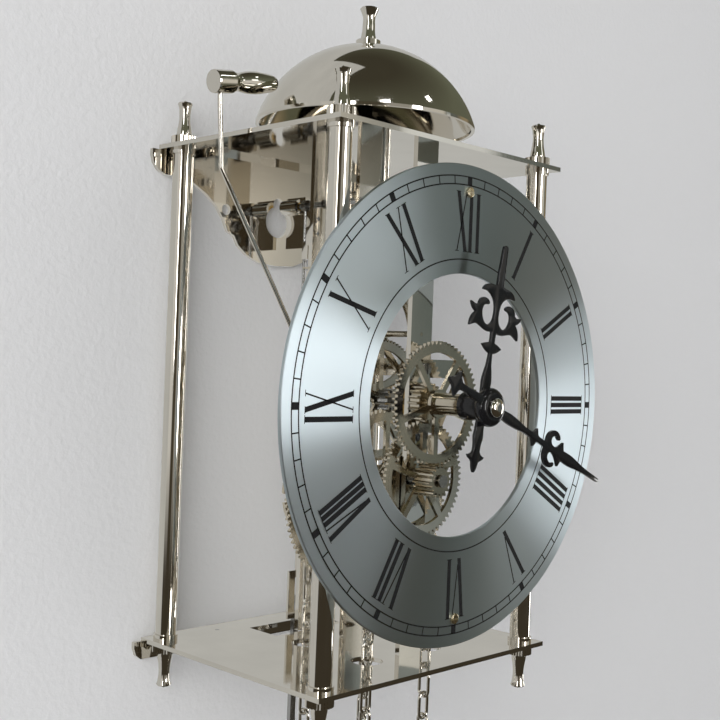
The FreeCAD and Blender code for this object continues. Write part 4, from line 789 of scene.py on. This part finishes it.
def pale_surface(name, colour, one_sided):
    """Matt pale plaster; a one-sided sheet isn't there for what looks at its back."""
    surface = Surface(name, Specular_IOR_Level=0.1)
    grain = surface.noise(surface.place(), 420.0)
    surface.feed(
        Base_Color=surface.mottled(colour, 1.6, 0.98),
        Roughness=surface.spread(grain, 0.85, 0.95),
        Normal=surface.bump(grain, 0.35, 0.0006),
    )
    if one_sided:
        clear = surface.add("ShaderNodeBsdfTransparent")
        back = surface.add("ShaderNodeNewGeometry", out="Backfacing")
        body = Value(surface, surface.shader.outputs[0])
        seen = surface.add("ShaderNodeMixShader", inputs={0: back, 1: body, 2: clear})
        surface.tree.links.new(seen.socket, surface.tree.nodes["Material Output"].inputs["Surface"])
    return surface.material


def on_dome(radius, bearing, rise):
    """A point round the clock, from its distance, its bearing and its height as angles."""
    out = radius * math.cos(rise)
    return Vector((out * math.sin(bearing), -out * math.cos(bearing), radius * math.sin(rise)))


def area_lamp(name, place, aim, wide, tall, radiance, in_metal, spread=180.0):
    """A lamp that shows in the metal or lights the matt surfaces; the spread is in degrees."""
    lamp = bpy.data.lights.new(name, "AREA")
    lamp.shape = "RECTANGLE"
    lamp.size = wide
    lamp.size_y = tall
    lamp.spread = math.radians(spread)
    lamp.energy = radiance * math.pi * wide * tall
    holder = linked(name, lamp)
    holder.location = place
    holder.rotation_euler = (Vector(aim) - holder.location).to_track_quat("-Z", "Y").to_euler()
    holder.visible_glossy = in_metal
    holder.visible_diffuse = not in_metal


def painted_glow(name):
    """A surface that only glows, though it is no lamp, for the painted reflections of the stage."""
    black = (0.0, 0.0, 0.0)
    return Surface(name, Base_Color=black, Roughness=1.0, Specular_IOR_Level=0.0, Emission_Strength=1.0)


def painted_room_reflection(name):
    """Painted reflection of the room by direction: a ramp along the horizon, painted shade below and
    darker above.
    """
    surface = painted_glow(name)
    toward = surface.vector("NORMALIZE", surface.place())
    x, y, z = (surface.add("ShaderNodeSeparateXYZ", inputs={0: toward}, out=axis) for axis in "XYZ")
    bearing = surface.add("ShaderNodeMath", {"operation": "ARCTAN2"}, {0: x, 1: 0.0 - y})
    horizon = surface.add("ShaderNodeValToRGB", {"stops": PAINTED_HORIZON}, {"Fac": bearing / math.pi + 0.5})
    lower = surface.blend(surface.spread(z, 1.0, 0.0, *SHADE_HEIGHTS), horizon, PAINTED_SHADE)
    above = surface.blend(surface.spread(z, 0.0, 1.0, *ZENITH_HEIGHTS), PAINTED_CEILING, PAINTED_ZENITH)
    rise = surface.spread(z, 0.0, 1.0, *CEILING_HEIGHTS)
    return surface.feed(Emission_Color=surface.blend(rise, lower, above))


def painted_reflection_sheet(name, colour):
    """A painted reflection of the wall, evenly bright, glowing though it is no lamp."""
    surface = painted_glow(name)
    return surface.feed(Emission_Color=surface.mottled(colour, 14.0, 0.9))


def only_in_metal(piece):
    """Leaves a piece of the stage to the reflections in the metal, where it is a painted reflection."""
    for kind in ("camera", "diffuse", "shadow", "transmission", "volume_scatter"):
        setattr(piece, "visible_" + kind, False)


def painted_reflection_dome(name, radius, around, up):
    """A glowing dome round the clock that paints the room's reflection, which only the metal shows."""
    bm = bmesh.new()
    rows = []
    for row in range(up + 1):
        rise = math.pi * (row / up - 0.5)
        points = [on_dome(radius, math.tau * k / around, rise) for k in range(around)]
        rows.append([bm.verts.new(point) for point in points])
    for low, high in zip(rows, rows[1:]):
        for k in range(around):
            after = (k + 1) % around
            bm.faces.new((low[k], low[after], high[after], high[k]))
    bmesh.ops.remove_doubles(bm, verts=bm.verts, dist=sizes().weld)
    dome = moulded(name, bm, painted_room_reflection(name))
    only_in_metal(dome)


def pale_world(light, seen):
    """A soft light all round, which the camera and the metal see as a pale backdrop."""
    world = bpy.data.worlds.new("studio")
    bpy.context.scene.world = world
    world.use_nodes = True
    nodes = Nodes(world.node_tree)
    nodes.tree.nodes.clear()
    soft = nodes.add("ShaderNodeBackground", inputs={"Color": (1.0, 1.0, 1.0), "Strength": light})
    backdrop = nodes.add("ShaderNodeBackground", inputs={"Color": seen, "Strength": 1.0})
    camera, glossy, clear = (
        nodes.add("ShaderNodeLightPath", out="Is %s Ray" % kind)
        for kind in ("Camera", "Glossy", "Transmission")
    )
    either = nodes.add("ShaderNodeMixShader", inputs={0: camera + glossy + clear, 1: soft, 2: backdrop})
    nodes.add("ShaderNodeOutputWorld", inputs={"Surface": either})


def photo_camera():
    """The camera at the photograph's place."""
    data = bpy.data.cameras.new("camera")
    data.lens = CAMERA_LENS
    data.sensor_width = CAMERA_SENSOR
    data.clip_start = CAMERA_NEAR
    camera = linked("camera", data)
    forward = Vector(CAMERA_FORWARD).normalized()
    up = Vector(CAMERA_UP).normalized()
    right = forward.cross(up).normalized()
    up = right.cross(forward)
    turn = Matrix((right, up, -forward)).transposed().to_4x4()
    camera.matrix_world = Matrix.Translation(CAMERA_PLACE) @ turn
    bpy.context.scene.camera = camera


class CLOCK_OT_stage(bpy.types.Operator):
    """Set up the wall, the floor, the soft light and the camera"""

    bl_idname = "clock.stage"
    bl_label = "Stage"

    def execute(self, context):
        c = colours()
        low, high = cad_box
        reach = STAGE_REACH
        behind = high.y + WALL_GAP
        image = high.y + IMAGE_GAP
        ground = low.z - FLOOR_DROP
        near_step, far_step = IMAGE_STEPS
        near_top, far_top = IMAGE_TOPS
        whole = ((-reach, ground), (reach, ground), (reach, reach), (-reach, reach))
        seen = (
            (-reach, ground),
            (reach, ground),
            (reach, far_top),
            (far_step, far_top),
            (far_step, near_top),
            (near_step, near_top),
            (near_step, reach),
            (-reach, reach),
        )
        level = ((-reach, behind), (-reach, -reach), (reach, -reach), (reach, behind))
        plaster = pale_surface("pale_wall", tuple(c.wall), True)
        wall = sheet("wall", [(x, behind, z) for x, z in whole], plaster)
        wall.visible_glossy = False
        # A glowing sheet paints the wall's reflection into the metal, cut in steps that leave painted
        # shade.
        wall_reflection_glow = painted_reflection_sheet("painted_wall_reflection", tuple(c.painted_wall_glow))
        only_in_metal(sheet("painted_wall_reflection_sheet", [(x, image, z) for x, z in seen], wall_reflection_glow))
        ground_finish = pale_surface("pale_floor", tuple(c.floor), False)
        floor = sheet("floor", [(x, y, ground) for x, y in level], ground_finish)
        floor.visible_glossy = False
        # A glowing dome paints the room's reflection, with its painted shade, into the metal.
        painted_reflection_dome("room", ROOM_RADIUS, ROOM_FACES_ROUND, ROOM_FACES_UP)
        for name, bearing, rise, wide, tall, radiance in WINDOWS:
            place = on_dome(WINDOW_DISTANCE, math.radians(bearing), math.radians(rise))
            area_lamp(name, place, WINDOW_AIM, wide, tall, radiance, True)
        place = on_dome(SOFT_DISTANCE, math.radians(SOFT_BEARING), math.radians(SOFT_RISE))
        area_lamp(
            "soft_light", place, SOFT_AIM, SOFT_WIDTH, SOFT_WIDTH, SOFT_RADIANCE, False, SOFT_SPREAD
        )
        pale_world(WORLD_LIGHT, BACKDROP)
        photo_camera()
        view = bpy.context.scene.view_settings
        view.view_transform = "Standard"
        return {"FINISHED"}


# ---------------------------------------------------------------- panel


class CLOCK_PT_panel(bpy.types.Panel):
    """Sizes, colours and steps of the clock"""

    bl_idname = "CLOCK_PT_panel"
    bl_label = "Wall Clock"
    bl_space_type = "VIEW_3D"
    bl_region_type = "UI"
    bl_category = "Wall Clock"

    def draw(self, context):
        layout = self.layout
        for step in STEPS:
            layout.operator(step.bl_idname)
        for group in (sizes(), colours()):
            box = layout.box()
            for name in group.bl_rna.properties.keys():
                if name not in ("rna_type", "name"):
                    box.prop(group, name)


STEPS = (CLOCK_OT_finishes, CLOCK_OT_dial, CLOCK_OT_dial_print, CLOCK_OT_hands, CLOCK_OT_stage)
CLASSES = (ClockSizes, ClockColours, *STEPS, CLOCK_PT_panel)


def register():
    for cls in CLASSES:
        bpy.utils.register_class(cls)
    bpy.types.Scene.clock_sizes = PointerProperty(type=ClockSizes)
    bpy.types.Scene.clock_colours = PointerProperty(type=ClockColours)


def unregister():
    del bpy.types.Scene.clock_colours
    del bpy.types.Scene.clock_sizes
    for cls in reversed(CLASSES):
        bpy.utils.unregister_class(cls)


def main():
    register()
    for step in STEPS:
        family, name = step.bl_idname.split(".")
        getattr(getattr(bpy.ops, family), name)()


if __name__ == "__main__":
    main()
